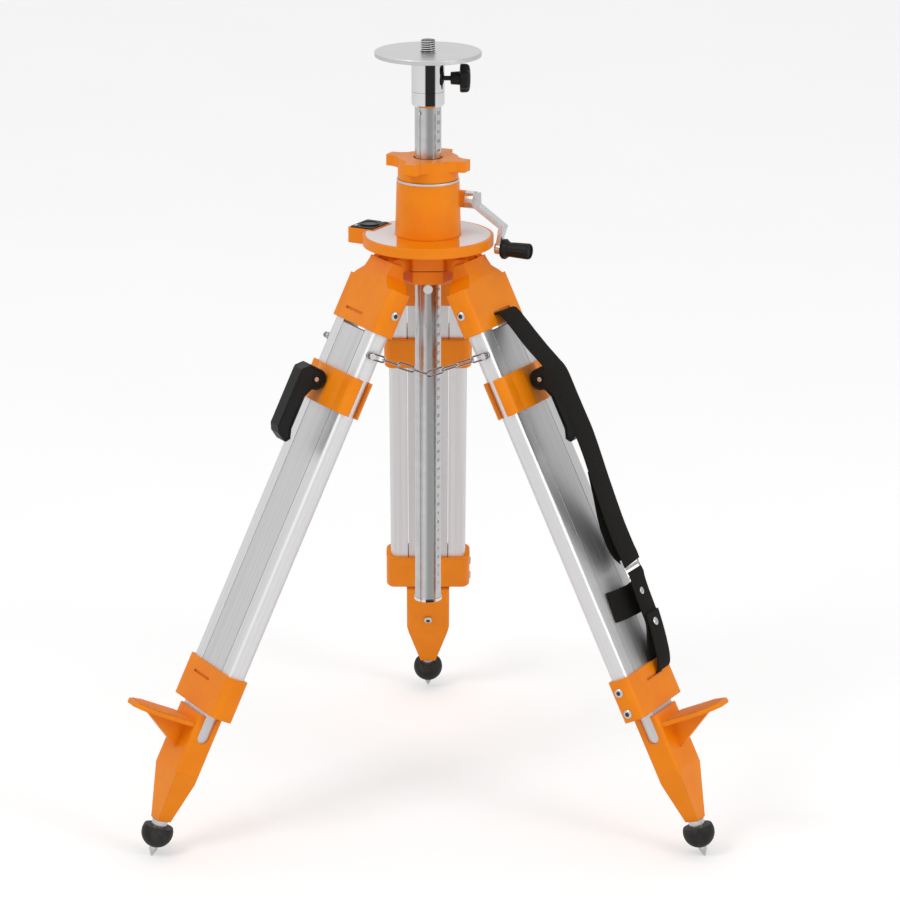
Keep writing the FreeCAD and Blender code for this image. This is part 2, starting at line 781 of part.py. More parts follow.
def sheet_outline(name, gap, low, high):
    """The disc's grey top: all round the housing except the front panel and the level's boss."""
    disc = rod(f"{name}_disc", "z", f"sheet_radius + {gap}", low, high)
    middle = rod(f"{name}_middle", "z", f"housing_foot_radius + 0.4 - {gap}", f"({low}) - 1",
                 f"({high}) + 1")
    panel = box(f"{name}_panel", (f"-front_panel_half + {gap}", f"front_panel_half - {gap}"),
                ("-disc_radius - 1", "0"), (f"({low}) - 1", f"({high}) + 1"))
    boss = box(f"{name}_boss", (f"level_radius - level_depth / 2 - 0.4 + {gap}", "disc_radius + 20"),
               (f"-level_length / 2 - 0.4 + {gap}", f"level_length / 2 + 0.4 - {gap}"),
               (f"({low}) - 1", f"({high}) + 1"))
    return cut(name, disc, middle, panel, turned(group(f"{name}_boss_room", boss), size("level_angle")))


def sheet_recess():
    return sheet_outline("sheet_recess", 0.1, "disc_top - sheet_thickness", "disc_top + 1")


def platform_sheet():
    return sheet_outline("sheet", 0, "disc_top - sheet_thickness + running_gap", "disc_top + running_gap")


def bolt_spots():
    """Three bolts between the hinges, on the hub's flats."""
    turns = [f"{60 + 120 * n} deg" for n in range(3)]
    return [(f"hub_bolt_orbit * cos({turn})", f"hub_bolt_orbit * sin({turn})") for turn in turns]


def platform_screw_holes():
    return [rod(f"hub_hole_{n}", "z", "hub_bolt_shank + running_gap", "hub_foot - 1", "hub_foot + 14", spot)
            for n, spot in enumerate(bolt_spots())]


def guide_cap():
    """Lower half of the hub: holds the lower bush and the column's guide screw."""
    cap = soften("cap_round",
                 prism("cap_block", "z", hexagon("hub_apothem", 0), "cap_foot", "hub_foot - 0.8"), 3.0,
                 below(size("cap_foot") + 0.1))
    lug = box("cap_lug", ("-4", "4"), ("-19.4", "-15.2"),
              ("cap_foot - 2 * guide_screw_drop", "cap_foot + 1"))
    bore = rod("cap_bore", "z", "hub_bore", "cap_foot + 0.8", "hub_foot + 1")
    mouth = rod("cap_mouth", "z", "column_radius + fitting_gap", "cap_foot - 1", "cap_foot + 1")
    screw = rod("cap_guide_hole", "y", "guide_screw_shank + running_gap", "-20", "-15",
                ("0", "cap_foot - guide_screw_drop"))
    holes = []
    for n, spot in enumerate(bolt_spots()):
        holes.append(rod(f"cap_hole_{n}", "z", "hub_bolt_shank + running_gap", "cap_foot - 1", "hub_foot",
                         spot))
        holes.append(rod(f"cap_sink_{n}", "z", "hub_bolt_head + 2 * running_gap", "cap_foot - 1",
                         "cap_foot + 5", spot))
    return cut("cap", join("cap_solid", cap, lug), bore, mouth, screw, *holes)


def platform_fasteners():
    """Hub bolts, guide screw, level screws and the three hinge pins."""
    pieces = []
    for n, spot in enumerate(bolt_spots()):
        head = rod(f"hub_bolt_head_{n}", "z", "hub_bolt_head", "cap_foot + 0.6",
                   "cap_foot + 5 - running_gap", spot)
        shank = rod(f"hub_bolt_shank_{n}", "z", "hub_bolt_shank", "cap_foot + 3", "hub_foot + 13", spot)
        pieces.append(join(f"hub_bolt_{n}", head, shank))
    centre = ("0", "cap_foot - guide_screw_drop")
    head = rod("guide_head", "y", "guide_screw_head", "-23.4", "-19.4 - running_gap", centre)
    shank = rod("guide_shank", "y", "guide_screw_shank", "-20", "-15.3", centre)
    pieces.append(join("guide_screw", head, shank))
    for n, spot in enumerate(level_screw_spots()):
        top = rod(f"level_screw_head_{n}", "z", "2.2", "level_top", "level_top + 0.9", spot)
        stem = rod(f"level_screw_stem_{n}", "z", "1.2", "level_top - 5", "level_top + 0.5", spot)
        pieces.append(turned(join(f"level_screw_{n}", top, stem), size("level_angle")))
    for leg, angle, side in LEGS:
        end = "ear_outside - pin_cover - running_gap"
        pin = rod(f"{leg}_pin", "y", "hinge_pin_radius", f"-({end})", end, ("hinge_radius", "hinge_height"))
        pieces.append(turned(group(f"{leg}_hinge_pin", pin), angle))
    return group("platform_fasteners", *pieces)


def level_plate():
    """Bezel of the circular level, built along +x."""
    plate = box("bezel_block",
                ("level_radius - level_plate_depth / 2", "level_radius + level_plate_depth / 2"),
                ("-level_plate_length / 2", "level_plate_length / 2"),
                ("level_top - 1.15", "level_top - 0.05"))
    rim = rod("bezel_rim", "z", "vial_radius + 2.2", "level_top - 1.1", "level_top + 1.2",
              ("level_radius", "0"))
    window = rod("bezel_window", "z", "vial_radius + 0.1", "level_top - 3", "level_top + 3",
                 ("level_radius", "0"))
    holes = [rod(f"bezel_hole_{n}", "z", "1.3", "level_top - 3", "level_top + 3", spot)
             for n, spot in enumerate(level_screw_spots())]
    return cut("bezel", join("bezel_solid", soften("bezel_round", plate, 1.5, straight_along("z")), rim),
               window, *holes)


def level_vial():
    body = rod("vial", "z", "vial_radius", "level_top - 9", "level_top + 0.6", ("level_radius", "0"))
    return soften("vial_round", body, 0.5, lambda edge: edge.Length > 40)


# ---------------------------------------------------------------- legs (leg frame)

def section(name, half_width, half_depth, top, foot, round_by):
    """A block round the leg's middle with its long edges rounded."""
    block = box(name, (f"-({half_depth})", half_depth), (f"-({half_width})", half_width),
                (f"-({foot})", f"-({top})"))
    return soften(f"{name}_round", block, round_by, straight_along("z"))


def rail(name, side, grow, top, foot):
    """One side rail's outline: square against the profile and rounded outside."""
    inside, outside = f"rail_inside - {grow}", f"leg_half_width + {grow}"
    if side < 0:
        inside, outside = f"-leg_half_width - {grow}", f"-rail_inside + {grow}"
    block = box(name, (f"-leg_half_depth - {grow}", f"leg_half_depth + {grow}"), (inside, outside),
                (f"-({foot})", f"-({top})"))
    outer = size("leg_half_width") - 3
    return soften(f"{name}_round", block, 6.0 + grow, both(straight_along("z"), beyond("y", outer)))


def rails(leg):
    """Two hollow aluminium rails."""
    pieces = []
    for n, side in enumerate((-1, 1)):
        name = f"{leg}_rail_{n}"
        pieces.append(hollow_rail(name, side))
    return group(f"{leg}_rails", *pieces)


def hollow_rail(name, side):
    outside = rail(name, side, 0, "rail_top", "rail_foot")
    low, high = ("rail_inside + rail_wall", "leg_half_width - rail_wall")
    if side < 0:
        low, high = (f"-({high})", f"-({low})")
    bore = box(f"{name}_bore", ("-leg_half_depth + rail_wall", "leg_half_depth - rail_wall"), (low, high),
               ("-rail_foot - 1", "-rail_top + 1"))
    rounded = soften(f"{name}_bore_round", bore, 4.3,
                     both(straight_along("z"), beyond("y", size("leg_half_width") - 4)))
    through_wall = on_side(side, "leg_half_width - rail_wall - 2", "leg_half_width + 8")
    holes = [rod(f"{name}_hole_{drop}", "y", "screw_shank + running_gap", *through_wall,
                 ("screw_out", f"-{drop}"))
             for drop, edge in BRACKET_SCREWS + COLLAR_SCREWS if edge == side]
    chain_hole = rod(f"{name}_chain_hole", "y", "bolt_shank + running_gap", *through_wall,
                     ("bolt_out", "-bolt_drop"))
    return cut(f"{name}_tube", outside, rounded, chain_hole, *holes)


def on_side(side, start, end):
    """Limits across the leg, mirrored for side -1."""
    return (start, end) if side > 0 else (f"-({end})", f"-({start})")


def leg_screws(leg):
    """Socket screws that hold the rails in the castings, and the bolts the chain hangs on."""
    pieces = []
    for drop, side in BRACKET_SCREWS + COLLAR_SCREWS:
        name = f"{leg}_{drop}_{side + 1}"
        centre = ("screw_out", f"-{drop}")
        head = rod(f"{name}_head", "y", "screw_head",
                   *on_side(side, "casting_half - 3", "casting_half + 0.2"), centre)
        shank = rod(f"{name}_shank", "y", "screw_shank",
                    *on_side(side, "leg_half_width - 3", "casting_half - 1"), centre)
        pieces.append(join(name, head, shank))
    for side in (-1, 1):
        name = f"{leg}_chain_bolt_{side + 1}"
        centre = ("bolt_out", "-bolt_drop")
        head = rod(f"{name}_head", "y", "bolt_head",
                   *on_side(side, "leg_half_width + bolt_head_start", "leg_half_width + bolt_head_end"),
                   centre)
        shank = rod(f"{name}_shank", "y", "bolt_shank",
                    *on_side(side, "leg_half_width - 3", "leg_half_width + bolt_head_start + 1"), centre)
        washer = rod(f"{name}_washer", "y", "bolt_head + 0.8",
                     *on_side(side, "leg_half_width + running_gap", "leg_half_width + 0.9"), centre)
        pieces.append(join(name, head, shank, washer))
    return group(f"{leg}_leg_screws", *pieces)


def casting_cuts(leg, name, top, foot, screws):
    """Rail sockets and screw holes in a casting."""
    cuts = [rail(f"{leg}_{name}_rail_{n}", side, 0.06, top, foot) for n, side in enumerate((-1, 1))]
    for drop, side in screws:
        spot = ("screw_out", f"-{drop}")
        hole = on_side(side, "leg_half_width - 2", "casting_half + 2")
        sink = on_side(side, "casting_half - 3 - running_gap", "casting_half + 2")
        cuts.append(rod(f"{leg}_{name}_{drop}_hole_{side + 1}", "y", "screw_shank + running_gap", *hole,
                        spot))
        cuts.append(rod(f"{leg}_{name}_{drop}_sink_{side + 1}", "y", "screw_head + running_gap", *sink,
                        spot))
    return cuts


def hinge_bracket(leg, side):
    """Casting with a socket for the rails below and a hollow knuckle round the hinge lug above."""
    socket = section(f"{leg}_socket", "casting_half", "casting_depth", "socket_top", "socket_foot", 9.0)
    front = prism(f"{leg}_neck_side", "y", [
        ("-casting_depth", "-socket_top - 6"), ("casting_depth", "-socket_top - 6"),
        ("casting_depth", "-socket_top + 4"), ("ear_radius", "0"), ("ear_radius", "3"), ("-2", "4"),
        ("-casting_depth", "-socket_top + 8")], "-casting_half", "casting_half")
    knuckle = rod(f"{leg}_knuckle", "y", "ear_radius", "-ear_outside", "ear_outside")
    face = prism(f"{leg}_neck_face", "x", [
        ("-casting_half + 12", "-socket_top - 6"), ("casting_half - 12", "-socket_top - 6"),
        ("casting_half - 12", "-socket_top"), ("neck_half", "-socket_top + 12"), ("neck_half", "ear_radius"),
        ("-neck_half", "ear_radius"), ("-neck_half", "-socket_top + 12"),
        ("-casting_half + 12", "-socket_top")],
        "-casting_depth - 1", "casting_depth + 1")
    neck = overlap(f"{leg}_neck", front, face)
    solid = join(f"{leg}_bracket_solid", socket, neck, knuckle)
    slot = box(f"{leg}_knuckle_slot", ("-casting_depth - 3", "knuckle_radius + 0.7"),
               ("-ear_inside", "ear_inside"), ("-ear_radius - 1.5", "ear_radius + 5"))
    pin = rod(f"{leg}_ear_hole", "y", "hinge_pin_radius + running_gap", "-ear_outside + pin_cover",
              "ear_outside - pin_cover")
    profile = box(f"{leg}_profile_room", ("-leg_half_depth - 0.3", "leg_half_depth + 0.3"),
                  ("-rail_inside - 0.2", "rail_inside + 0.2"), ("-socket_foot - 1", "-socket_foot + 8"))
    strap = strap_slot(f"{leg}_upper_slot", side, "upper_slot_drop")
    return cut(f"{leg}_bracket", solid, slot, pin, profile, strap,
               *casting_cuts(leg, "bracket", "rail_top - 1", "socket_foot + 1", BRACKET_SCREWS))


def strap_slot(name, side, drop):
    """Narrow opening across the outer face for a carrying strap."""
    return box(name, ("casting_depth - 2.5", "casting_depth + 1"), on_side(side, "-24", "11"),
               (f"-({drop}) - 1.3", f"-({drop}) + 1.3"))


def lower_collar(leg, side):
    """Casting that ties the rails' feet together; the profile slides through it."""
    body = section(f"{leg}_collar_body", "casting_half", "casting_depth", "collar_top", "collar_foot", 9.0)
    window = box(f"{leg}_collar_window", ("-leg_half_depth - 0.1", "leg_half_depth + 0.1"),
                 ("-rail_inside - 0.2", "rail_inside + 0.2"), ("-collar_foot - 1", "-collar_top + 1"))
    strap = strap_slot(f"{leg}_lower_slot", side, "lower_slot_drop")
    return cut(f"{leg}_collar", body, window, strap,
               *casting_cuts(leg, "collar", "collar_top - 1", "rail_foot + 0.5", COLLAR_SCREWS))


def centre_profile(leg):
    """Hollow sliding section with two inner webs."""
    outside = box(f"{leg}_profile_out", ("-leg_half_depth", "leg_half_depth"),
                  ("-profile_half", "profile_half"),
                  ("-profile_foot", "-profile_top"))
    wall = "rail_wall"
    third = "(2 * profile_half - rail_wall) / 3"
    cells = []
    for n in (0, 1, 2):
        start = f"-profile_half + {wall} + {n} * {third}"
        cells.append(box(f"{leg}_profile_cell_{n}",
                         (f"-leg_half_depth + {wall}", f"leg_half_depth - {wall}"),
                         (start, f"{start} + {third} - {wall}"), ("-profile_foot - 1", "-profile_top + 1")))
    bolt = rod(f"{leg}_profile_bolt_hole", "x", "clamp_bolt_radius + running_gap", "-leg_half_depth - 1",
               "leg_half_depth + 1",
               ("0", "-lever_drop"))
    screw = rod(f"{leg}_profile_screw_hole", "x", "foot_screw_shank + running_gap", "-leg_half_depth - 1",
                "0",
                ("0", "-foot_screw_drop"))
    return cut(f"{leg}_profile", outside, bolt, screw, *cells)


def clamp_jaws(leg):
    """Outer jaw with the cam's ramp, and the inner jaw behind the leg."""
    room = section(f"{leg}_jaw_room", "leg_half_width + 0.2", "leg_half_depth + 0.2", "clamp_top - 1",
                   "clamp_foot + 1", 6.2)
    shell = section(f"{leg}_jaw_shell", "casting_half", "casting_depth + 1.2", "clamp_top", "clamp_foot",
                    9.0)
    ramp = prism(f"{leg}_jaw_ramp", "z", [
        ("casting_depth - 2", "-30"), ("casting_depth + 1", "-30"), ("20.2", "-13"), ("20.2", "13"),
        ("casting_depth + 1", "30"), ("casting_depth - 2", "30")], "-clamp_foot", "-clamp_top")
    outer = overlap(f"{leg}_outer_half", join(f"{leg}_jaw_solid", shell, ramp),
                    box(f"{leg}_outer_limit", ("3", "40"), ("-60", "60"),
                        ("-clamp_foot - 1", "-clamp_top + 1")))
    bolt_room = rod(f"{leg}_jaw_bolt_hole", "x", "clamp_bolt_radius + running_gap", "-20", "30",
                    ("0", "-lever_drop"))
    outer_jaw = cut(f"{leg}_outer_jaw", outer, room, bolt_room)
    inner = overlap(f"{leg}_inner_half", section(f"{leg}_inner_shell", "casting_half", "casting_depth",
                                                 "clamp_top", "clamp_foot", 9.0),
                    box(f"{leg}_inner_limit", ("-40", "-7.5"), ("-60", "60"),
                        ("-clamp_foot - 1", "-clamp_top + 1")))
    inner_room = section(f"{leg}_inner_room", "leg_half_width + 0.2", "leg_half_depth + 0.2",
                         "clamp_top - 1", "clamp_foot + 1", 6.2)
    inner_hole = rod(f"{leg}_inner_bolt_hole", "x", "clamp_bolt_radius + running_gap", "-20", "0",
                     ("0", "-lever_drop"))
    inner_jaw = cut(f"{leg}_inner_jaw", inner, inner_room, inner_hole)
    return group(f"{leg}_jaws", outer_jaw, inner_jaw)


def clamp_bolt(leg):
    """Bolt through the jaws with the lever's cross pin in its eye."""
    centre = ("0", "-lever_drop")
    head = rod(f"{leg}_bolt_head", "x", "6", "-casting_depth - 4", "-casting_depth - running_gap", centre)
    shank = rod(f"{leg}_bolt_shank", "x", "clamp_bolt_radius", "-casting_depth - 1", "lever_out", centre)
    eye = rod(f"{leg}_bolt_eye", "y", "6.4", "-lever_slot_half + 0.3", "lever_slot_half - 0.3",
              ("lever_out", "-lever_drop"))
    pin = rod(f"{leg}_cross_pin", "y", "2.5", "-lever_half - 0.3", "lever_half + 0.3",
              ("lever_out", "-lever_drop"))
    return join(f"{leg}_clamp_bolt", head, shank, eye, pin)


def foot_screw(leg):
    """Button-headed screw through the foot's inner face into the profile."""
    centre = ("0", "-foot_screw_drop")
    head = rod(f"{leg}_foot_screw_head", "x", "foot_screw_head", "-foot_depth - 2.2",
               "-foot_depth - running_gap", centre)
    shank = rod(f"{leg}_foot_screw_shank", "x", "foot_screw_shank", "-foot_depth - 1",
                "-leg_half_depth + rail_wall", centre)
    return join(f"{leg}_foot_screw", head, shank)


def lower_bolts(leg):
    return group(f"{leg}_lower_bolts", clamp_bolt(leg), foot_screw(leg))


def clamp_lever(leg):
    """Cam hub and a long arm that lies down the leg and ends in a finger hook."""
    centre = ("lever_out", "-lever_drop")
    hub = rod(f"{leg}_lever_hub", "y", "lever_hub_radius", "-lever_half", "lever_half", centre)
    arm = prism(f"{leg}_lever_arm", "y", [
        ("lever_out", "-lever_drop + lever_hub_radius"),
        ("lever_reach - 8", "-lever_drop + lever_hub_radius + 1"),
        ("lever_reach", "-lever_drop + 4"), ("lever_reach", "-lever_end + 14"),
        ("lever_reach - 4", "-lever_end + 7"),
        ("lever_reach - 16", "-lever_end"), ("lever_reach - 20.5", "-lever_end + 6"),
        ("lever_reach - 14", "-lever_end + 18"), ("lever_reach - 14", "-lever_drop - 22"),
        ("lever_out + 2", "-lever_drop - lever_hub_radius + 0.5")], "-lever_half", "lever_half")
    rounded = soften(f"{leg}_lever_round", arm, 3.0,
                     both(straight_along("y"), lambda edge: edge.CenterOfMass.x > 36))
    hole = rod(f"{leg}_lever_hole", "y", "2.55", "-lever_half - 1", "lever_half + 1", centre)
    slot = box(f"{leg}_lever_slot", ("lever_out - 30", "lever_out + 7"),
               ("-lever_slot_half", "lever_slot_half"),
               ("-lever_drop - 7", "-lever_drop + 40"))
    return cut(f"{leg}_lever", join(f"{leg}_lever_solid", hub, rounded), hole, slot)


def foot_casting(leg):
    """Sleeve round the profile, a taper down to the spike and the pedal to tread on."""
    side_view = prism(f"{leg}_foot_side", "y", [
        ("-foot_depth", "-foot_top"), ("foot_depth", "-foot_top"), ("foot_depth", "-sleeve_end"),
        ("foot_tip_out", "-foot_end"), ("foot_tip_in", "-foot_end"), ("-foot_depth", "-sleeve_end")],
        "-foot_half", "foot_half")
    front_view = prism(f"{leg}_foot_front", "x", [
        ("-foot_half", "-foot_top"), ("-foot_half", "-sleeve_end"), ("-foot_tip_half", "-foot_end"),
        ("foot_tip_half", "-foot_end"), ("foot_half", "-sleeve_end"), ("foot_half", "-foot_top")], "-20",
        "20")
    body = soften(f"{leg}_foot_round", overlap(f"{leg}_foot_body", side_view, front_view), 4.0,
                  straight_along("z"))
    plate = prism(f"{leg}_pedal_plate", "z", [
        ("foot_depth - 2", "-pedal_half"), ("62", "-pedal_half"), ("pedal_tip - 9", "-pedal_half + 5"),
        ("pedal_tip", "-8"), ("pedal_tip", "8"), ("pedal_tip - 9", "pedal_half - 5"), ("62", "pedal_half"),
        ("foot_depth - 2", "pedal_half")], "-pedal_top - 5", "-pedal_top")
    gusset = prism(f"{leg}_pedal_gusset", "y", [
        ("foot_depth - 2", "-pedal_top - 3"), ("pedal_tip - 14", "-pedal_top - 3"),
        ("foot_depth - 2", "-559")],
        "-4", "4")
    solid = join(f"{leg}_foot_solid", body, plate, gusset)
    room = box(f"{leg}_foot_room", ("-leg_half_depth - 0.1", "leg_half_depth + 0.1"),
               ("-profile_half - 0.1", "profile_half + 0.1"), ("-profile_foot - 0.2", "-foot_top + 1"))
    notch = box(f"{leg}_foot_notch", ("-notch_half", "notch_half"), ("-foot_half - 1", "foot_half + 1"),
                ("-notch_foot + notch_half", "-foot_top + 1"))
    notch_end = rod(f"{leg}_foot_notch_end", "y", "notch_half", "-foot_half - 1", "foot_half + 1",
                    ("0", "-notch_foot + notch_half"))
    screw = rod(f"{leg}_foot_screw_hole", "x", "foot_screw_shank + running_gap", "-foot_depth - 1", "0",
                ("0", "-foot_screw_drop"))
    return cut(f"{leg}_foot_casting", solid, room, notch, notch_end, screw, spike_bore(leg))


def spike_bore(leg):
    """The spike's socket and the room round its shoulder, leaning from the leg like the spike."""
    shank = rod(f"{leg}_spike_bore", "z", "spike_shank + running_gap", "spike_shoulder_top - 1",
                "spike_top + 1")
    shoulder = rod(f"{leg}_spike_room", "z", "spike_shoulder + 6", "-5", "spike_shoulder_top")
    socket = join(f"{leg}_spike_socket", shank, shoulder)
    point = Vector(size("spike_tip_out"), 0, -size("spike_tip_drop"))
    socket.Placement = FreeCAD.Placement(point, FreeCAD.Rotation(Vector(0, 1, 0), size("spike_lean")))
    return socket


def spike(leg):
    """Steel point, shoulder and shank, built up its own axis."""
    point = taper(f"{leg}_spike_point", "z", "0.8", "spike_radius", "0", "8")
    neck = rod(f"{leg}_spike_neck", "z", "spike_radius", "7.9", "spike_shoulder_foot + 1")
    shoulder = rod(f"{leg}_spike_shoulder", "z", "spike_shoulder", "spike_shoulder_foot",
                   "spike_shoulder_top - running_gap")
    shank = rod(f"{leg}_spike_shank", "z", "spike_shank", "spike_shoulder_top - 1", "spike_top")
    return join(f"{leg}_spike_solid", point, neck, shoulder, shank)


def ball(name, radius, height):
    """Ball on the z axis."""
    item = doc.addObject("Part::Sphere", name)
    item.setExpression("Radius", formula(radius))
    item.setExpression("Placement.Base.z", formula(height))
    return item


def rubber_cup(leg):
    """Bowl pushed up the spike, leaving the steel point clear below it."""
    slab = rod(f"{leg}_cup_slab", "z", "cup_radius + 1", "cup_foot", "cup_top")
    body = overlap(f"{leg}_cup_body", ball(f"{leg}_cup_ball", "cup_radius", "cup_centre"), slab)
    bore = rod(f"{leg}_cup_bore", "z", "spike_shoulder + running_gap", "spike_shoulder_foot - running_gap",
               "cup_top + 1")
    mouth = rod(f"{leg}_cup_mouth", "z", "spike_radius + fitting_gap", "cup_foot - 1", "spike_shoulder_foot")
    return cut(f"{leg}_cup", body, bore, mouth)


def chain_link():
    """One oval link lying in the xy plane, long along y."""
    wire = size("link_wire") / 2
    bend = size("link_width") / 2 - wire
    reach = size("link_length") / 2 - size("link_width") / 2
    ends = []
    for side in (1, -1):
        end = Part.makeTorus(bend, wire, Vector(), Vector(0, 0, 1), 0, 360, 180)
        end.rotate(Vector(), Vector(0, 0, 1), 0 if side > 0 else 180)
        end.translate(Vector(0, side * reach, 0))
        ends.append(end)
    bars = [Part.makeCylinder(wire, 2 * reach, Vector(side * bend, -reach, 0),
                              Vector(0, 1, 0)) for side in (1, -1)]
    return ends[0].fuse([ends[1]] + bars).removeSplitter()


def half_chain_line(side):
    """Start and direction, in the leg frame, of the half chain on one side of a leg.

    It ends on the plane midway between two legs, where it meets its neighbour's half."""
    lean = math.radians(size("leg_slope"))
    across = size("chain_across")
    radius = size("hinge_radius") + size("bolt_drop") * math.sin(lean) + size("bolt_out") * math.cos(lean)
    along_plane = radius * 0.5 + across * math.sqrt(0.75)
    inward = along_plane * 0.5 - radius
    sideways = along_plane * math.sqrt(0.75) - across
    length = size("link_first") + 3 * size("link_pitch") + size("link_last")
    drop = -math.sqrt(length ** 2 - inward ** 2 - sideways ** 2)
    start = Vector(size("bolt_out"), side * across, -size("bolt_drop"))
    way = Vector(inward * math.cos(lean) + drop * math.sin(lean), side * sideways,
                 -inward * math.sin(lean) + drop * math.cos(lean))
    return start, way.normalize()


def leg_chain(leg):
    """Both half chains of a leg: each link turned against the one before."""
    links = []
    for side, twist in ((1, 90), (-1, 60)):
        start, way = half_chain_line(side)
        flat = Vector(0, 1, 0).cross(way)
        base = FreeCAD.Rotation(flat, way, Vector(0, 1, 0), "YXZ")
        for n in range(4):
            spin = FreeCAD.Rotation(Vector(0, 1, 0), twist * n)
            centre = size("link_first") + n * size("link_pitch")
            link = chain_link()
            link.Placement = FreeCAD.Placement(start + way * centre, base.multiply(spin))
            links.append(link)
    item = doc.addObject("Part::Feature", f"{leg}_chain")
    item.Shape = Part.makeCompound(links)
    return item


# ---------------------------------------------------------------- carrying strap (right leg's frame)

def strap_webbing():
    """Plain solid where the webbing runs from the upper casting to the lower one."""
    inner = [("14.5", "-61"), ("24", "-86"), ("26.5", "-150"), ("23.5", "-430"), ("14.5", "-466")]
    outer = [("14.5", "-472"), ("23.5 + strap_thickness", "-434"), ("26.5 + strap_thickness", "-150"),
             ("24 + strap_thickness", "-83"), ("14.5", "-56")]
    return prism("strap", "y", inner + outer, "strap_inside", "strap_outside")


def tie_band():
    """Plain solid for the band that bundles the legs."""
    band = box("tie", ("leg_half_depth + 0.6", "casting_depth"), ("tie_left", "tie_right"),
               ("-tie_foot", "-tie_top"))
    return soften("tie_round", band, 1.0, straight_along("z"))


def strap_hardware():
    """Ladder buckle and two rivets, on the strap's outer face."""
    face = "25.4 + strap_thickness"
    buckle = box("buckle_plate", (face, f"{face} + 2"), ("strap_inside + 1", "strap_outside - 1"),
                 ("-362", "-352"))
    pieces = [buckle]
    for n, drop in enumerate(("385", "420")):
        pieces.append(rod(f"rivet_{n}", "x", "4.5", face, f"{face} + 1.5", ("24", f"-{drop}")))
    return group("strap_fittings", *pieces)


# ---------------------------------------------------------------- assembly

def build_head():
    stand = stand_frame()
    rack_side = stand_frame(size("crank_angle") + 90)
    crank_side = stand_frame(size("crank_angle"))
    finish(instrument_plate(), "instrument_plate", stand)
    finish(instrument_stud(), "instrument_stud", stand)
    finish(head_sleeve(), "head_sleeve", stand)
    finish(lock_knob(), "head_lock_knob", stand)
    finish(column_tube(), "column_tube", rack_side)
    finish(column_fittings(), "column_fittings", rack_side)
    finish(column_rack(), "column_rack", rack_side)
    finish(pinion_shaft(), "pinion_shaft", crank_frame())
    finish(crank_arm(), "crank_arm", crank_frame())
    finish(crank_grip(), "crank_grip", crank_frame())
    finish(star_nut(), "column_star_nut", crank_side)
    finish(washer_ring(), "nut_washer_ring", stand)
    finish(collet(), "column_collet", stand)
    finish(gear_housing(), "gear_housing", crank_side)
    finish(bushes(), "shaft_and_column_bushes", crank_side)
    finish(platform(), "platform", stand)
    finish(platform_sheet(), "platform_sheet", stand)
    finish(guide_cap(), "guide_cap", stand)
    finish(platform_fasteners(), "platform_fasteners", stand)
    finish(level_plate(), "level_plate", stand_frame(size("level_angle")))
    finish(level_vial(), "level_vial", stand_frame(size("level_angle")))


def build_leg(leg, angle, side):
    frame = leg_frame(angle)
    finish(hinge_bracket(leg, side), f"{leg}_hinge_bracket", frame)
    finish(rails(leg), f"{leg}_leg_rails", frame)
    finish(lower_collar(leg, side), f"{leg}_lower_collar", frame)
    finish(leg_screws(leg), f"{leg}_leg_screws", frame)
    finish(centre_profile(leg), f"{leg}_centre_profile", frame)
    finish(clamp_jaws(leg), f"{leg}_clamp_jaws", frame)
    finish(lower_bolts(leg), f"{leg}_lower_bolts", frame)
    finish(clamp_lever(leg), f"{leg}_clamp_lever", frame)
    finish(foot_casting(leg), f"{leg}_foot", frame)
    finish(spike(leg), f"{leg}_spike", spike_frame(angle))
    finish(rubber_cup(leg), f"{leg}_rubber_cup", spike_frame(angle))
    finish(leg_chain(leg), f"{leg}_chain", frame)


def build_strap():
    frame = leg_frame(LEGS[1][1])
    finish(strap_webbing(), "strap_webbing", frame)
    finish(tie_band(), "tie_band", frame)
    finish(strap_hardware(), "strap_hardware", frame)


def check_document():
    for item in doc.Objects:
        if "Invalid" in item.State or "Error" in item.State:
            raise RuntimeError(f"{item.Name} is {item.State}")
    for item in finished:
        if item.Shape.isNull() or not item.Shape.isValid():
            raise RuntimeError(f"{item.Label} has a bad shape")


build_head()
for leg_name, leg_angle, strap_side in LEGS:
    build_leg(leg_name, leg_angle, strap_side)
build_strap()
doc.recompute()
check_document()
os.makedirs("parts", exist_ok=True)
for item in finished:
    item.Shape.exportStep(f"parts/{item.Label}.step")
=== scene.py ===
import json
import math
import bmesh
import bpy
from mathutils import Matrix, Vector


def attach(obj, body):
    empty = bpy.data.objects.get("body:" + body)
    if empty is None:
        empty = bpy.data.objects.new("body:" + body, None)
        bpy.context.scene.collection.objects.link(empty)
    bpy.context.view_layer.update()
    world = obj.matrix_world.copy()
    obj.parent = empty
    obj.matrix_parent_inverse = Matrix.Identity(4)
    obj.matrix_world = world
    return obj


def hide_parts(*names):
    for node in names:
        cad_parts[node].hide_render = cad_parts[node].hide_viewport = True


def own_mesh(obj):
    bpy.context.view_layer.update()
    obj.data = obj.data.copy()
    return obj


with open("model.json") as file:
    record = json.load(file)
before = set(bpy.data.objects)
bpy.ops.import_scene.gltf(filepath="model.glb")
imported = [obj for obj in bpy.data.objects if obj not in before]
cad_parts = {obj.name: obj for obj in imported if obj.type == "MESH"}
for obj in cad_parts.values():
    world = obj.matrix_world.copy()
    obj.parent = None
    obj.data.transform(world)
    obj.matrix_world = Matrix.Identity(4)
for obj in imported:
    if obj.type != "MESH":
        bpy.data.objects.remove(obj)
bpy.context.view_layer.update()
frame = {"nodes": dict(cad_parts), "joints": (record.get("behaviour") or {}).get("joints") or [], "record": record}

MM = 0.001
nodes = frame["nodes"]
joints = {joint["name"]: joint for joint in frame["joints"]}
LEGS = ("left", "right", "rear")


# ---------------------------------------------------------------- frames read from the CAD

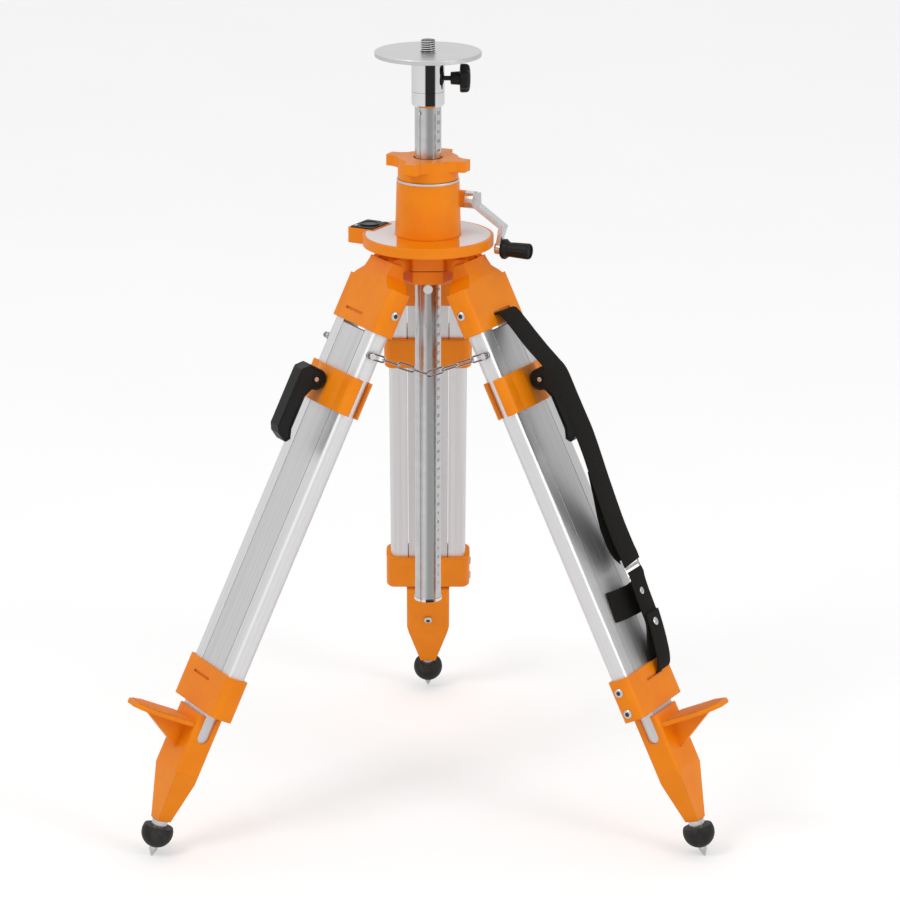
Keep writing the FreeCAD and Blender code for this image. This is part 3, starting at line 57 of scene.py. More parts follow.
def leg_frame(leg):
    """Origin on the hinge pin: x outward from the leg, y across it, z up it."""
    fold = joints[f"{leg}_fold"]
    across = Vector(fold["axis"])
    up = -Vector(joints[f"{leg}_extend"]["axis"])
    return frame_of(Vector(fold["pos_m"]), across.cross(up), across, up)


def crank_frame():
    """Origin in the middle of the pinion: z along the shaft, y down the crank."""
    turn = joints["crank_turn"]
    along = Vector(turn["axis"])
    down = Vector((0, 0, -1))
    return frame_of(Vector(turn["pos_m"]), down.cross(along), down, along)


def frame_of(origin, x, y, z):
    turn = Matrix((x, y, z)).transposed().to_4x4()
    return Matrix.Translation(origin) @ turn


LEG_FRAMES = {leg: leg_frame(leg) for leg in LEGS}
CRANK = crank_frame()


# ---------------------------------------------------------------- short names for shader nodes

def add(tree, kind, values=None, **settings):
    made = tree.nodes.new(kind)
    for key, value in settings.items():
        setattr(made, key, value)
    for key, value in (values or {}).items():
        if isinstance(value, bpy.types.NodeSocket):
            tree.links.new(value, made.inputs[key])
        else:
            made.inputs[key].default_value = value
    return made


def maths(tree, operation, first, second=0.0):
    return add(tree, "ShaderNodeMath", {0: first, 1: second}, operation=operation).outputs[0]


def spread(tree, value, low, high, new_low=0.0, new_high=1.0):
    """Map a value from low..high to new_low..new_high and clamp it."""
    return add(tree, "ShaderNodeMapRange", {"Value": value, "From Min": low, "From Max": high,
                                            "To Min": new_low, "To Max": new_high}).outputs["Result"]


def blend_colours(tree, share, first, second):
    made = add(tree, "ShaderNodeMix", data_type="RGBA")
    for index, value in ((0, share), (6, first), (7, second)):
        if isinstance(value, bpy.types.NodeSocket):
            tree.links.new(value, made.inputs[index])
        elif index == 0:
            made.inputs[index].default_value = value
        else:
            made.inputs[index].default_value = (*value, 1.0)
    return made.outputs[2]


def noise(tree, place, scale, detail=3.0, rough=0.55):
    return add(tree, "ShaderNodeTexNoise", {"Vector": place, "Scale": scale, "Detail": detail,
                                            "Roughness": rough}).outputs["Fac"]


def place_in(tree, space=None, stretch=(1.0, 1.0, 1.0)):
    """The point in the row frame, or in another frame, with each axis divided by stretch."""
    point = add(tree, "ShaderNodeTexCoord").outputs["Object"]
    space = space or Matrix.Identity(4)
    return add(tree, "ShaderNodeMapping", {"Vector": point, "Location": space.translation,
                                           "Rotation": space.to_euler(), "Scale": stretch},
               vector_type="TEXTURE").outputs["Vector"]


def bump(tree, height, depth, under=None):
    values = {"Height": height, "Distance": depth, "Strength": 1.0}
    if under is not None:
        values["Normal"] = under
    return add(tree, "ShaderNodeBump", values).outputs["Normal"]


def soft_edges(tree, radius):
    return add(tree, "ShaderNodeBevel", {"Radius": radius}, samples=4).outputs["Normal"]


def edge_share(tree, radius):
    """One on sharp edges, zero on flat faces."""
    normal = add(tree, "ShaderNodeNewGeometry").outputs["True Normal"]
    turned = add(tree, "ShaderNodeVectorMath", {0: soft_edges(tree, radius), 1: normal},
                 operation="DOT_PRODUCT")
    return spread(tree, turned.outputs["Value"], 0.995, 0.86)


def material(name, build, *settings):
    made = bpy.data.materials.new(name)
    made.use_nodes = True
    build(made.node_tree, made.node_tree.nodes["Principled BSDF"], *settings)
    return made


def finish_shader(tree, shader, values):
    for key, value in values.items():
        if isinstance(value, bpy.types.NodeSocket):
            tree.links.new(value, shader.inputs[key])
        elif isinstance(value, tuple):
            shader.inputs[key].default_value = (*value, 1.0)
        else:
            shader.inputs[key].default_value = value


def mirrored_dark(tree, middle, half, soft):
    """One where the surface would mirror a dark strip in front of the tripod, else zero.

    The strip is in the material only, not in the scene, so it follows the view in any other scene too.
    """
    mirrored = add(tree, "ShaderNodeTexCoord").outputs["Reflection"]
    sideways, ahead = add(tree, "ShaderNodeSeparateXYZ", {0: mirrored}).outputs[:2]
    off = maths(tree, "ABSOLUTE", maths(tree, "SUBTRACT", sideways, middle))
    strip = spread(tree, off, half + soft, half)
    return maths(tree, "MULTIPLY", strip, spread(tree, ahead, -0.15, -0.35))


# ---------------------------------------------------------------- materials

def powder_coat(tree, shader):
    """Orange powder coat: a fine orange-peel skin, darker in the pits and paler along worn edges."""
    place = place_in(tree)
    peel = noise(tree, place, 900.0, 2.0)
    cloud = noise(tree, place, 28.0, 4.0)
    speck = noise(tree, place, 2600.0, 1.0)
    body = blend_colours(tree, spread(tree, cloud, 0.3, 0.7), (0.86, 0.225, 0.001), (0.92, 0.262, 0.002))
    worn = maths(tree, "MULTIPLY", edge_share(tree, 0.0007), spread(tree, cloud, 0.35, 0.6, 0.15, 0.5))
    colour = blend_colours(tree, worn, body, (0.95, 0.48, 0.16))
    finish_shader(tree, shader, {
        "Base Color": colour,
        "Roughness": spread(tree, speck, 0.3, 0.7, 0.30, 0.40),
        "Normal": bump(tree, peel, 0.00006, soft_edges(tree, 0.0018)),
        "Specular IOR Level": 0.22,
    })


def extrusion(tree, shader, space, dark, light):
    """Anodised extrusion with die lines along the leg and faint handling marks."""
    lines = noise(tree, place_in(tree, space, (0.0004, 0.0004, 0.25)), 1.0, 3.0)
    wide = noise(tree, place_in(tree, space, (0.004, 0.004, 0.5)), 1.0, 2.0)
    marks = noise(tree, place_in(tree, space, (0.01, 0.01, 0.03)), 1.0, 5.0, 0.7)
    colour = blend_colours(tree, spread(tree, wide, 0.3, 0.7), dark, light)
    rough = maths(tree, "ADD", spread(tree, lines, 0.3, 0.7, 0.36, 0.44),
                  spread(tree, marks, 0.55, 0.75, 0.0, 0.08))
    finish_shader(tree, shader, {
        "Base Color": colour, "Metallic": 1.0, "Roughness": rough,
        "Normal": bump(tree, lines, 0.00002, soft_edges(tree, 0.0006)),
    })


def drawn_tube(tree, shader):
    """Bright drawn tube: fine lines along the column, slightly dulled where the bushes rub, with a painted dark
    reflection band where it would mirror the strip in front.
    """
    lines = noise(tree, place_in(tree, None, (0.00025, 0.00025, 0.3)), 1.0, 3.0)
    rub = noise(tree, place_in(tree, None, (0.05, 0.05, 0.012)), 1.0, 4.0)
    bright = blend_colours(tree, spread(tree, rub, 0.3, 0.7), (0.60, 0.60, 0.61), (0.70, 0.70, 0.71))
    finish_shader(tree, shader, {
        # Painted reflection: the base colour darkens to grey where the tube would mirror the dark strip in front.
        "Base Color": blend_colours(tree, mirrored_dark(tree, 0.30, 0.30, 0.5), bright, (0.34, 0.34, 0.34)),
        "Metallic": 1.0,
        "Roughness": maths(tree, "ADD", spread(tree, lines, 0.3, 0.7, 0.20, 0.28),
                           spread(tree, rub, 0.5, 0.8, 0.0, 0.06)),
        "Normal": bump(tree, lines, 0.00001),
    })


def bright_plating(tree, shader):
    smudge = noise(tree, place_in(tree), 90.0, 4.0)
    finish_shader(tree, shader, {
        # Painted reflection: the base colour turns near black where the plating would mirror the dark strip in
        # front.
        "Base Color": blend_colours(tree, mirrored_dark(tree, 0.22, 0.50, 0.10), (0.86, 0.86, 0.87),
                                    (0.03, 0.03, 0.03)),
        "Metallic": 1.0,
        "Roughness": spread(tree, smudge, 0.35, 0.75, 0.03, 0.10),
        "Normal": soft_edges(tree, 0.0003),
    })


def turned_face(tree, shader):
    """Plate skimmed on a lathe: rings round the column's axis."""
    point = add(tree, "ShaderNodeTexCoord").outputs["Object"]
    parts = add(tree, "ShaderNodeSeparateXYZ", {0: point})
    squares = [maths(tree, "MULTIPLY", parts.outputs[n], parts.outputs[n]) for n in (0, 1)]
    radius = maths(tree, "SQRT", maths(tree, "ADD", *squares))
    packed = add(tree, "ShaderNodeCombineXYZ", {0: radius}).outputs[0]
    rings = noise(tree, packed, 2600.0, 2.0)
    broad = noise(tree, place_in(tree), 30.0, 3.0)
    finish_shader(tree, shader, {
        "Base Color": blend_colours(tree, broad, (0.66, 0.66, 0.67), (0.74, 0.74, 0.75)), "Metallic": 1.0,
        "Roughness": spread(tree, rings, 0.3, 0.7, 0.28, 0.38),
        "Normal": bump(tree, rings, 0.00001, soft_edges(tree, 0.0006)),
    })


def cast_metal(tree, shader):
    """Tumbled zinc casting under thin plating."""
    place = place_in(tree)
    grain = noise(tree, place, 700.0, 3.0)
    finish_shader(tree, shader, {
        "Base Color": blend_colours(tree, noise(tree, place, 60.0), (0.62, 0.62, 0.63), (0.78, 0.78, 0.79)),
        "Metallic": 1.0, "Roughness": spread(tree, grain, 0.3, 0.7, 0.22, 0.36),
        "Normal": bump(tree, grain, 0.00008, soft_edges(tree, 0.0012)),
    })


def plated_steel(tree, shader):
    place = place_in(tree)
    finish_shader(tree, shader, {
        "Base Color": blend_colours(tree, noise(tree, place, 200.0), (0.58, 0.58, 0.58),
                                    (0.76, 0.75, 0.73)),
        "Metallic": 1.0, "Roughness": spread(tree, noise(tree, place, 500.0), 0.3, 0.7, 0.16, 0.30),
        "Normal": soft_edges(tree, 0.0003),
    })


def oiled_steel(tree, shader):
    place = place_in(tree)
    finish_shader(tree, shader, {
        "Base Color": blend_colours(tree, noise(tree, place, 120.0), (0.20, 0.20, 0.21),
                                    (0.36, 0.36, 0.37)),
        "Metallic": 1.0, "Roughness": spread(tree, noise(tree, place, 400.0), 0.3, 0.7, 0.28, 0.45),
        "Normal": bump(tree, noise(tree, place, 1500.0), 0.00002, soft_edges(tree, 0.0004)),
    })


def moulded_plastic(tree, shader):
    """Black plastic with a spark-eroded grain and slightly shiny edges."""
    place = place_in(tree)
    grain = noise(tree, place, 2400.0, 2.0)
    finish_shader(tree, shader, {
        "Base Color": blend_colours(tree, noise(tree, place, 80.0), (0.003, 0.003, 0.003),
                                    (0.006, 0.006, 0.005)),
        "Specular IOR Level": 0.25,
        "Roughness": spread(tree, edge_share(tree, 0.0008), 0.0, 1.0, 0.40, 0.30),
        "Normal": bump(tree, grain, 0.00005, soft_edges(tree, 0.0010)),
    })


def moulded_rubber(tree, shader):
    place = place_in(tree)
    dust = spread(tree, noise(tree, place, 45.0, 5.0, 0.7), 0.5, 0.8)
    finish_shader(tree, shader, {
        "Base Color": blend_colours(tree, dust, (0.014, 0.013, 0.013), (0.05, 0.046, 0.042)),
        "Specular IOR Level": 0.25, "Roughness": spread(tree, dust, 0.0, 1.0, 0.5, 0.8),
        "Normal": bump(tree, noise(tree, place, 1200.0, 3.0), 0.0001, soft_edges(tree, 0.0012)),
    })


def nylon(tree, shader):
    place = place_in(tree)
    finish_shader(tree, shader, {
        "Base Color": blend_colours(tree, noise(tree, place, 60.0), (0.78, 0.77, 0.71), (0.86, 0.85, 0.80)),
        "Roughness": 0.42, "Normal": bump(tree, noise(tree, place, 900.0), 0.00004),
    })


def laminate(tree, shader):
    """Light grey sheet with a faint leatherette grain."""
    place = place_in(tree)
    cells = add(tree, "ShaderNodeTexVoronoi", {"Vector": place, "Scale": 1500.0}).outputs["Distance"]
    finish_shader(tree, shader, {
        "Base Color": blend_colours(tree, noise(tree, place, 40.0), (0.76, 0.77, 0.79), (0.82, 0.83, 0.85)),
        "Roughness": 0.5, "Normal": bump(tree, cells, 0.00003),
    })


def webbing(tree, shader):
    """Woven polyester: ribs across the band and paired threads along it, from the band's own UV in metres."""
    along, across = add(tree, "ShaderNodeSeparateXYZ",
                        {0: add(tree, "ShaderNodeUVMap").outputs[0]}).outputs[:2]
    rib = maths(tree, "SINE", maths(tree, "MULTIPLY", along, 2 * math.pi / 0.0016))
    shift = maths(tree, "MULTIPLY",
                  maths(tree, "SINE", maths(tree, "MULTIPLY", across, math.pi / 0.0011)), 2.2)
    twill = maths(tree, "SINE",
                  maths(tree, "ADD", maths(tree, "MULTIPLY", along, 2 * math.pi / 0.0032), shift))
    thread = maths(tree, "SINE", maths(tree, "MULTIPLY", across, 2 * math.pi / 0.0011))
    weave = maths(tree, "ADD", maths(tree, "MULTIPLY", rib, 0.5),
                  maths(tree, "ADD", maths(tree, "MULTIPLY", twill, 0.35),
                        maths(tree, "MULTIPLY", thread, 0.3)))
    fuzz = noise(tree, place_in(tree), 1800.0, 2.0)
    tone = spread(tree, maths(tree, "ADD", weave, fuzz), -0.4, 1.3)
    finish_shader(tree, shader, {
        "Base Color": blend_colours(tree, tone, (0.002, 0.002, 0.002), (0.018, 0.016, 0.012)),
        "Roughness": 0.8, "Specular IOR Level": 0.15,
        "Normal": bump(tree, weave, 0.00022),
    })


def print_ink_and_socket_shade(tree, shader):
    worn = noise(tree, place_in(tree), 900.0, 3.0)
    finish_shader(tree, shader, {
        "Base Color": blend_colours(tree, spread(tree, worn, 0.55, 0.75), (0.012, 0.012, 0.014),
                                    (0.10, 0.10, 0.11)),
        "Roughness": 0.5,
    })


def vial_fluid(tree, shader):
    finish_shader(tree, shader, {
        "Base Color": blend_colours(tree, noise(tree, place_in(tree), 120.0), (0.020, 0.026, 0.012),
                                    (0.045, 0.055, 0.025)),
        "Roughness": 0.30, "Specular IOR Level": 0.15,
    })


def chain_wire(tree, shader):
    place = place_in(tree)
    finish_shader(tree, shader, {
        # Painted reflection: the base colour turns dark grey where the wire would mirror the dark strip in front.
        "Base Color": blend_colours(tree, mirrored_dark(tree, 0.0, 0.45, 0.3), (0.62, 0.62, 0.62),
                                    (0.10, 0.10, 0.10)),
        "Metallic": 1.0, "Roughness": spread(tree, noise(tree, place, 500.0), 0.3, 0.7, 0.16, 0.30),
    })


def cut_thread(tree, shader):
    """Plated thread: bright plating on the crests, painted shade down in the valleys."""
    parts = add(tree, "ShaderNodeSeparateXYZ",
                {0: add(tree, "ShaderNodeTexCoord").outputs["Object"]}).outputs
    squares = [maths(tree, "MULTIPLY", parts[n], parts[n]) for n in (0, 1)]
    radius = maths(tree, "SQRT", maths(tree, "ADD", *squares))
    # Painted shade: the colour falls to near black down in the thread valleys and stays bright only on the crests.
    crest = spread(tree, radius, 0.00705, 0.00765)
    finish_shader(tree, shader, {
        "Base Color": blend_colours(tree, crest, (0.03, 0.03, 0.03), (0.72, 0.72, 0.72)),
        "Metallic": 1.0,
        "Roughness": spread(tree, noise(tree, place_in(tree), 800.0), 0.3, 0.7, 0.18, 0.30),
    })


MATERIALS = {
    "orange_paint": material("powder_coat_orange", powder_coat),
    "chrome": material("bright_plating", bright_plating),
    "column_aluminium": material("drawn_tube", drawn_tube),
    "satin_aluminium": material("turned_aluminium", turned_face),
    "polished_casting": material("cast_metal", cast_metal),
    "plated_steel": material("plated_steel", plated_steel),
    "dark_steel": material("oiled_steel", oiled_steel),
    "black_plastic": material("moulded_plastic", moulded_plastic),
    "black_rubber": material("moulded_rubber", moulded_rubber),
    "nylon": material("nylon", nylon),
    "grey_sheet": material("grey_laminate", laminate),
    "webbing": material("woven_webbing", webbing),
    "vial_glass": material("vial_fluid", vial_fluid),
}
PRINT_INK_AND_SOCKET_SHADE = material("print_ink_and_socket_shade", print_ink_and_socket_shade)
CHAIN_WIRE = material("chain_wire", chain_wire)
CUT_THREAD = material("cut_thread", cut_thread)
RAIL_TONES = ((0.76, 0.76, 0.77), (0.84, 0.84, 0.85))
PROFILE_TONES = ((0.66, 0.66, 0.67), (0.74, 0.74, 0.75))


def dress_frame():
    """Give every CAD node its material; the leg sections get one that follows their own leg."""
    slots = {part["node"]: part["material_slot"] for part in frame["record"]["subparts"]}
    for name, thing in nodes.items():
        wanted = MATERIALS.get(slots[name])
        if name.endswith("_chain"):
            wanted = CHAIN_WIRE
        if name.endswith("_spike"):
            wanted = MATERIALS["plated_steel"]
        for leg in LEGS:
            if name == f"{leg}_leg_rails":
                wanted = material(f"{leg}_rail_metal", extrusion, LEG_FRAMES[leg], *RAIL_TONES)
            elif name == f"{leg}_centre_profile":
                wanted = material(f"{leg}_profile_metal", extrusion, LEG_FRAMES[leg], *PROFILE_TONES)
        thing.data.materials.clear()
        thing.data.materials.append(wanted)


# ---------------------------------------------------------------- making pieces

def piece(name, verts, faces, body, slot, space=None, uvs=None, surface=None, sharp=math.radians(35)):
    """A new mesh riding on a body. Points are in millimetres, in the given frame."""
    mesh = bpy.data.meshes.new(name)
    space = space or Matrix.Identity(4)
    mesh.from_pydata([space @ (Vector(point) * MM) for point in verts], [], faces)
    if uvs:
        layer = mesh.uv_layers.new(name="UVMap")
        for loop in mesh.loops:
            layer.data[loop.index].uv = uvs[loop.vertex_index]
    mesh.validate()
    shape = bmesh.new()
    shape.from_mesh(mesh)
    bmesh.ops.recalc_face_normals(shape, faces=shape.faces)
    for edge in shape.edges:
        if len(edge.link_faces) == 2 and edge.calc_face_angle() > sharp:
            edge.smooth = False
    for face in shape.faces:
        face.smooth = True
    shape.to_mesh(mesh)
    shape.free()
    mesh.materials.append(surface or MATERIALS[slot])
    made = bpy.data.objects.new(name, mesh)
    bpy.context.scene.collection.objects.link(made)
    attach(made, body)
    return made


def skin(rows, loop=False):
    """Faces that join rows of equal length. The ends get caps, or in a loop the last row joins the first."""
    count = len(rows[0])
    verts = [point for row in rows for point in row]
    faces = []
    for level in range(len(rows) if loop else len(rows) - 1):
        here, above = level * count, (level + 1) % len(rows) * count
        for k in range(count):
            beside = (k + 1) % count
            faces.append((here + k, here + beside, above + beside, above + k))
    if not loop:
        faces.append(tuple(range(count)))
        faces.append(tuple((len(rows) - 1) * count + k for k in range(count)))
    return verts, faces


def smooth_path(points, steps=14):
    """A smooth curve through the points."""
    points = [Vector(p) for p in points]
    ends = [points[0] * 2 - points[1]] + points + [points[-1] * 2 - points[-2]]
    path = []
    for k in range(1, len(ends) - 2):
        a, b, c, d = ends[k - 1:k + 3]
        for step in range(steps):
            u = step / steps
            path.append(0.5 * (2 * b + (c - a) * u + (2 * a - 5 * b + 4 * c - d) * u * u
                               + (3 * b - a - 3 * c + d) * u ** 3))
    return path + [points[-1]]


def band(name, points, width, thick, body, slot, space, across=Vector((0, 1, 0)), steps=14):
    """A strip of webbing along a path of (out, across, drop) points, with rounded edges and its own UV."""
    path = smooth_path([(out, side, -down) for out, side, down in points], steps)
    outline = []
    for k in range(16):
        angle = 2 * math.pi * k / 16
        flat = width / 2 - thick / 2
        outline.append((math.copysign(flat, math.cos(angle)) + thick / 2 * math.cos(angle),
                        thick / 2 * math.sin(angle)))
    rows, uvs, run = [], [], 0.0
    for k, place in enumerate(path):
        ahead = path[min(k + 1, len(path) - 1)] - path[max(k - 1, 0)]
        ahead.normalize()
        if k:
            run += (place - path[k - 1]).length
        side = (across - ahead * across.dot(ahead)).normalized()
        face = ahead.cross(side)
        rows.append([place + side * a + face * b for a, b in outline])
        uvs.extend((run * MM, a * MM) for a, b in outline)
    verts, faces = skin(rows)
    return piece(name, verts, faces, body, slot, space, uvs)


def ring_rows(profile, centre=(0.0, 0.0), steps=48, shape=None):
    """Rows of points round the z axis for skin(). The profile is a list of (radius, height)."""
    rows = []
    for radius, height in profile:
        row = []
        for k in range(steps):
            angle = 2 * math.pi * k / steps
            reach = shape(radius, height, angle) if shape else radius
            row.append((centre[0] + reach * math.cos(angle), centre[1] + reach * math.sin(angle), height))
        rows.append(row)
    return rows


WIRE_SIDES = 10


def bent_wire(name, points, radius, body, slot, space):
    """A closed loop of round wire through the points."""
    rows = []
    points = [Vector(point) for point in points]
    flat = (points[1] - points[0]).cross(points[2] - points[1]).normalized()
    for k, here in enumerate(points):
        ahead = (points[(k + 1) % len(points)] - points[k - 1]).normalized()
        side = (flat - ahead * ahead.dot(flat)).normalized()
        other = ahead.cross(side)
        rows.append([here + side * radius * math.cos(a) + other * radius * math.sin(a)
                     for a in (2 * math.pi * n / WIRE_SIDES for n in range(WIRE_SIDES))])
    verts, faces = skin(rows, loop=True)
    return piece(name, verts, faces, body, slot, space)


# ---------------------------------------------------------------- strap on the right leg

STRAP_WIDTH, STRAP_THICK = 35.0, 1.5


def build_strap():
    """Doubled webbing over the clamp lever, buckle, riveted lower end and the band that ties the legs.

    Paths are (out, across, drop) from the leg's hinge pin.
    """
    space = LEG_FRAMES["right"]
    body = "right_leg_upper"
    outer = band("strap_outer", (
        (12, 7, 59), (20, 6, 62), (27, 4, 76), (34, 1, 92), (42, -3, 108), (50.5, -5, 126), (55.5, -5, 141),
        (55.8, -5, 170), (55.3, -4, 198), (50, 3, 226), (42, 10, 268), (34, 18, 313), (30, 24, 340),
        (29, 26.5, 352), (28.4, 27, 359),
    ), STRAP_WIDTH, STRAP_THICK, body, "webbing", space)
    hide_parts("strap_webbing")
    inner = band("strap_inner", (
        (45, 7, 246), (36, 13, 272), (25, 19, 305), (20, 24, 330), (20.5, 26, 344), (24, 27, 353),
    ), STRAP_WIDTH - 1, STRAP_THICK, body, "webbing", space)
    for layer in (outer, inner):
        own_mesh(layer)
    band("strap_lower", (
        (28, 27, 366), (28.5, 27, 372), (27, 27, 380), (25.8, 27, 394), (25.4, 26.5, 410), (24.4, 26, 425),
        (17, 25.5, 444), (12.5, 25, 456), (11.6, 24, 470),
    ), STRAP_WIDTH - 5, STRAP_THICK, body, "webbing", space)
    band("strap_free_end", (
        (12, 24, 477), (17, 24.5, 474), (21, 25, 464), (24, 26, 448), (26, 27, 432), (28, 27, 415),
    ), STRAP_WIDTH - 7, STRAP_THICK, body, "webbing", space)
    frame_loop, bar_loop = [
        [(26.6, 27 + across * 16.5, -drop) for across, drop in ((-1, high), (1, high), (1, low), (-1, low))]
        for high, low in ((352, 372), (361.2, 362.8))]
    first = bent_wire("strap_buckle_frame", frame_loop, 1.2, body, "plated_steel", space)
    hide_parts("strap_hardware")
    bent_wire("strap_buckle_bar", bar_loop, 0.8, body, "plated_steel", space)
    for name, out, side, drop in (("strap_rivet_top", 25.9, 27, 390), ("strap_rivet_foot", 27.5, 27, 426)):
        head = ring_rows(((4.4, 0.0), (4.4, 0.5), (3.6, 1.1), (2.0, 1.5), (0.5, 1.6)), steps=28)
        seat = (space @ Matrix.Translation(Vector((out, side, -drop)) * MM)
                @ Matrix.Rotation(math.pi / 2, 4, "Y"))
        verts, faces = skin(head)
        piece(name, verts, faces, body, "plated_steel", seat)
    tie = band("tie_band_loop", (
        (11.2, -18, 392), (12.2, -13, 392.6), (12.4, 0, 394), (12.6, 14, 395), (14.5, 25, 395.5),
        (19, 31, 394),
    ), 33.0, 1.6, body, "webbing", space, across=Vector((0, 0, 1)), steps=8)
    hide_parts("tie_band")
    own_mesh(tie)


# ---------------------------------------------------------------- head and crank

def build_threaded_stud():
    """The instrument screw with a 5/8 inch, 11 threads to the inch profile."""
    pitch, depth, crest, top = 2.309, 1.15, 7.94, 12.0
    steps = 60

    def threaded(radius, height, angle):
        turn = (height / pitch - angle / (2 * math.pi)) % 1.0
        valley = 1 - abs(2 * turn - 1)
        chamfer = max(0.0, height - (top - 1.0))
        return min(crest - depth * valley, crest - chamfer)

    heights = [k * pitch / 10 for k in range(int(top / pitch * 10) + 1)] + [top]
    rows = ring_rows([(7.4, -5.0), (7.4, -0.2)], steps=steps)
    rows += ring_rows([(crest, height) for height in heights], steps=steps, shape=threaded)
    rows += ring_rows([(5.0, top)], steps=steps)
    verts, faces = skin(rows)
    stud = piece("instrument_screw_threaded", verts, faces, "instrument_head", "plated_steel",
                 sharp=math.radians(60), surface=CUT_THREAD)
    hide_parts("instrument_stud")


def build_lock_knob():
    """Six-lobed hand knob with a domed face on a thin stem."""
    place = Matrix.Translation(Vector((0, 0, -28.6)) * MM) @ Matrix.Rotation(math.pi / 2, 4, "Y")

    def lobed(radius, height, angle):
        if height < 33.2:
            return radius
        swell = math.cos(6 * angle)
        return radius * (1 + 0.13 * swell - 0.03 * swell * swell)

    profile = ((2.5, 9.0), (2.5, 23.2), (6.2, 23.6), (6.6, 24.2), (7.2, 33.0), (12.4, 33.3), (13.6, 34.0),
               (13.9, 36.0), (13.7, 40.5), (12.9, 42.3), (11.3, 43.4), (8.0, 44.1), (4.0, 44.4),
               (1.0, 44.5))
    verts, faces = skin(ring_rows(profile, steps=72, shape=lobed))
    knob = piece("head_lock_hand_knob", verts, faces, "lock_knob", "black_plastic", place)
    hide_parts("head_lock_knob")


def build_grip():
    """Crank grip: a collar with scalloped edge, a neck and a body with ribs along it."""
    centre = (0.0, 49.5)

    def ribbed(radius, height, angle):
        if height < 83:
            return radius + 0.25 * math.cos(10 * angle)
        ribs = 0.5 * abs(math.cos(8 * angle))
        return radius - 0.5 + ribs

    profile = ((4.0, 78.0), (9.8, 78.1), (10.5, 78.8), (10.5, 82.4), (9.6, 83.4), (8.6, 84.4), (7.9, 86.0),
               (7.9, 88.5), (8.1, 92.0), (8.5, 104.0), (8.6, 107.6), (8.0, 109.4), (6.9, 110.0),
               (6.4, 109.0), (6.2, 108.2), (1.0, 108.0))
    verts, faces = skin(ring_rows(profile, centre, 96, ribbed))
    grip = piece("crank_grip_ribbed", verts, faces, "grip", "black_plastic", CRANK, sharp=math.radians(50))
    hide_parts("crank_grip")


# ---------------------------------------------------------------- scale on the column

def wrap_on_column(mesh, angle, height, radius=14.04):
    """Bend a flat figure round the column: x runs round it, y runs up it. Sizes in metres."""
    for vert in mesh.vertices:
        turn = math.radians(angle) + vert.co.x / (radius * MM)
        vert.co = Vector((radius * MM * math.cos(turn), radius * MM * math.sin(turn),
                          height * MM + vert.co.y))


def join_meshes(name, meshes, body, surface):
    """One piece made of many small meshes."""
    whole = bmesh.new()
    for mesh in meshes:
        whole.from_mesh(mesh)
    mesh = bpy.data.meshes.new(name)
    whole.to_mesh(mesh)
    whole.free()
    mesh.materials.clear()
    mesh.materials.append(surface)
    made = bpy.data.objects.new(name, mesh)
    bpy.context.scene.collection.objects.link(made)
    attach(made, body)


def numeral(text, size_mm):
    """A flat figure as a mesh, centred on its own origin."""
    curve = bpy.data.curves.new("numeral", "FONT")
    curve.body = text
    curve.size = size_mm * MM
    curve.align_x = "CENTER"
    curve.align_y = "CENTER"
    holder = bpy.data.objects.new("numeral", curve)
    bpy.context.scene.collection.objects.link(holder)
    bpy.context.view_layer.update()
    mesh = bpy.data.meshes.new_from_object(holder.evaluated_get(bpy.context.evaluated_depsgraph_get()))
    bpy.data.objects.remove(holder)
    return mesh


def tick(long):
    reach, half = long / 2 * MM, 0.18 * MM
    mesh = bpy.data.meshes.new("tick")
    mesh.from_pydata([(-reach, -half, 0), (reach, -half, 0), (reach, half, 0), (-reach, half, 0)], [],
                     [(0, 1, 2, 3)])
    return mesh


def build_column_scale():
    """Centimetre numbers up the column, with a tick for each millimetre beside them."""
    top, count = -64.0, 53
    number_angle, tick_angle, number_size = -38, -58, 5.0
    numbers, ticks = [], []
    for k in range(count):
        height = top - 10.0 * k
        mesh = numeral(str(count - k), number_size)
        wrap_on_column(mesh, number_angle, height)
        numbers.append(mesh)
        for part in range(10):
            mesh = tick(3.4 if part == 0 else (2.6 if part == 5 else 1.8))
            wrap_on_column(mesh, tick_angle, height - part)
            ticks.append(mesh)
    join_meshes("column_scale_numbers", numbers, "column", PRINT_INK_AND_SOCKET_SHADE)
    join_meshes("column_scale_ticks", ticks, "column", PRINT_INK_AND_SOCKET_SHADE)


# ---------------------------------------------------------------- details on the legs
# Places are (out, across, up) from the leg's hinge pin, in millimetres.

CASTING_HALF = 48.55
FOOT_SCREW = (-17.0, 0, -562)
PEDAL_TOP = -524.0
LEVER_PIVOT_OUT, LEVER_PIVOT_DROP = 32.0, 140.0
LEVER_HALF = 8.4


def socket_screw(name, seat, body, radius=4.8):
    """Domed screw head with a hexagon socket painted black as shade, standing up the seat's z axis."""
    dome = ring_rows(((radius, 0.0), (radius, 0.3), (radius - 0.7, 1.0), (radius - 1.6, 1.35), (2.6, 1.4)),
                     steps=36)
    head_verts, head_faces = skin(dome)
    piece(name, head_verts, head_faces, body, "plated_steel", seat)

    def six_sided(radius, height, angle):
        return radius / math.cos((angle % (math.pi / 3)) - math.pi / 6)

    socket = ring_rows(((2.3, 1.42), (2.3, 0.6), (0.2, 0.4)), steps=36, shape=six_sided)
    verts, faces = skin(socket)
    # Painted shade: the shallow socket recess gets the near-black ink colour to stand in for the shade of its
    # depth.
    piece(name + "_socket", verts, faces, body, "dark_steel", seat, surface=PRINT_INK_AND_SOCKET_SHADE)


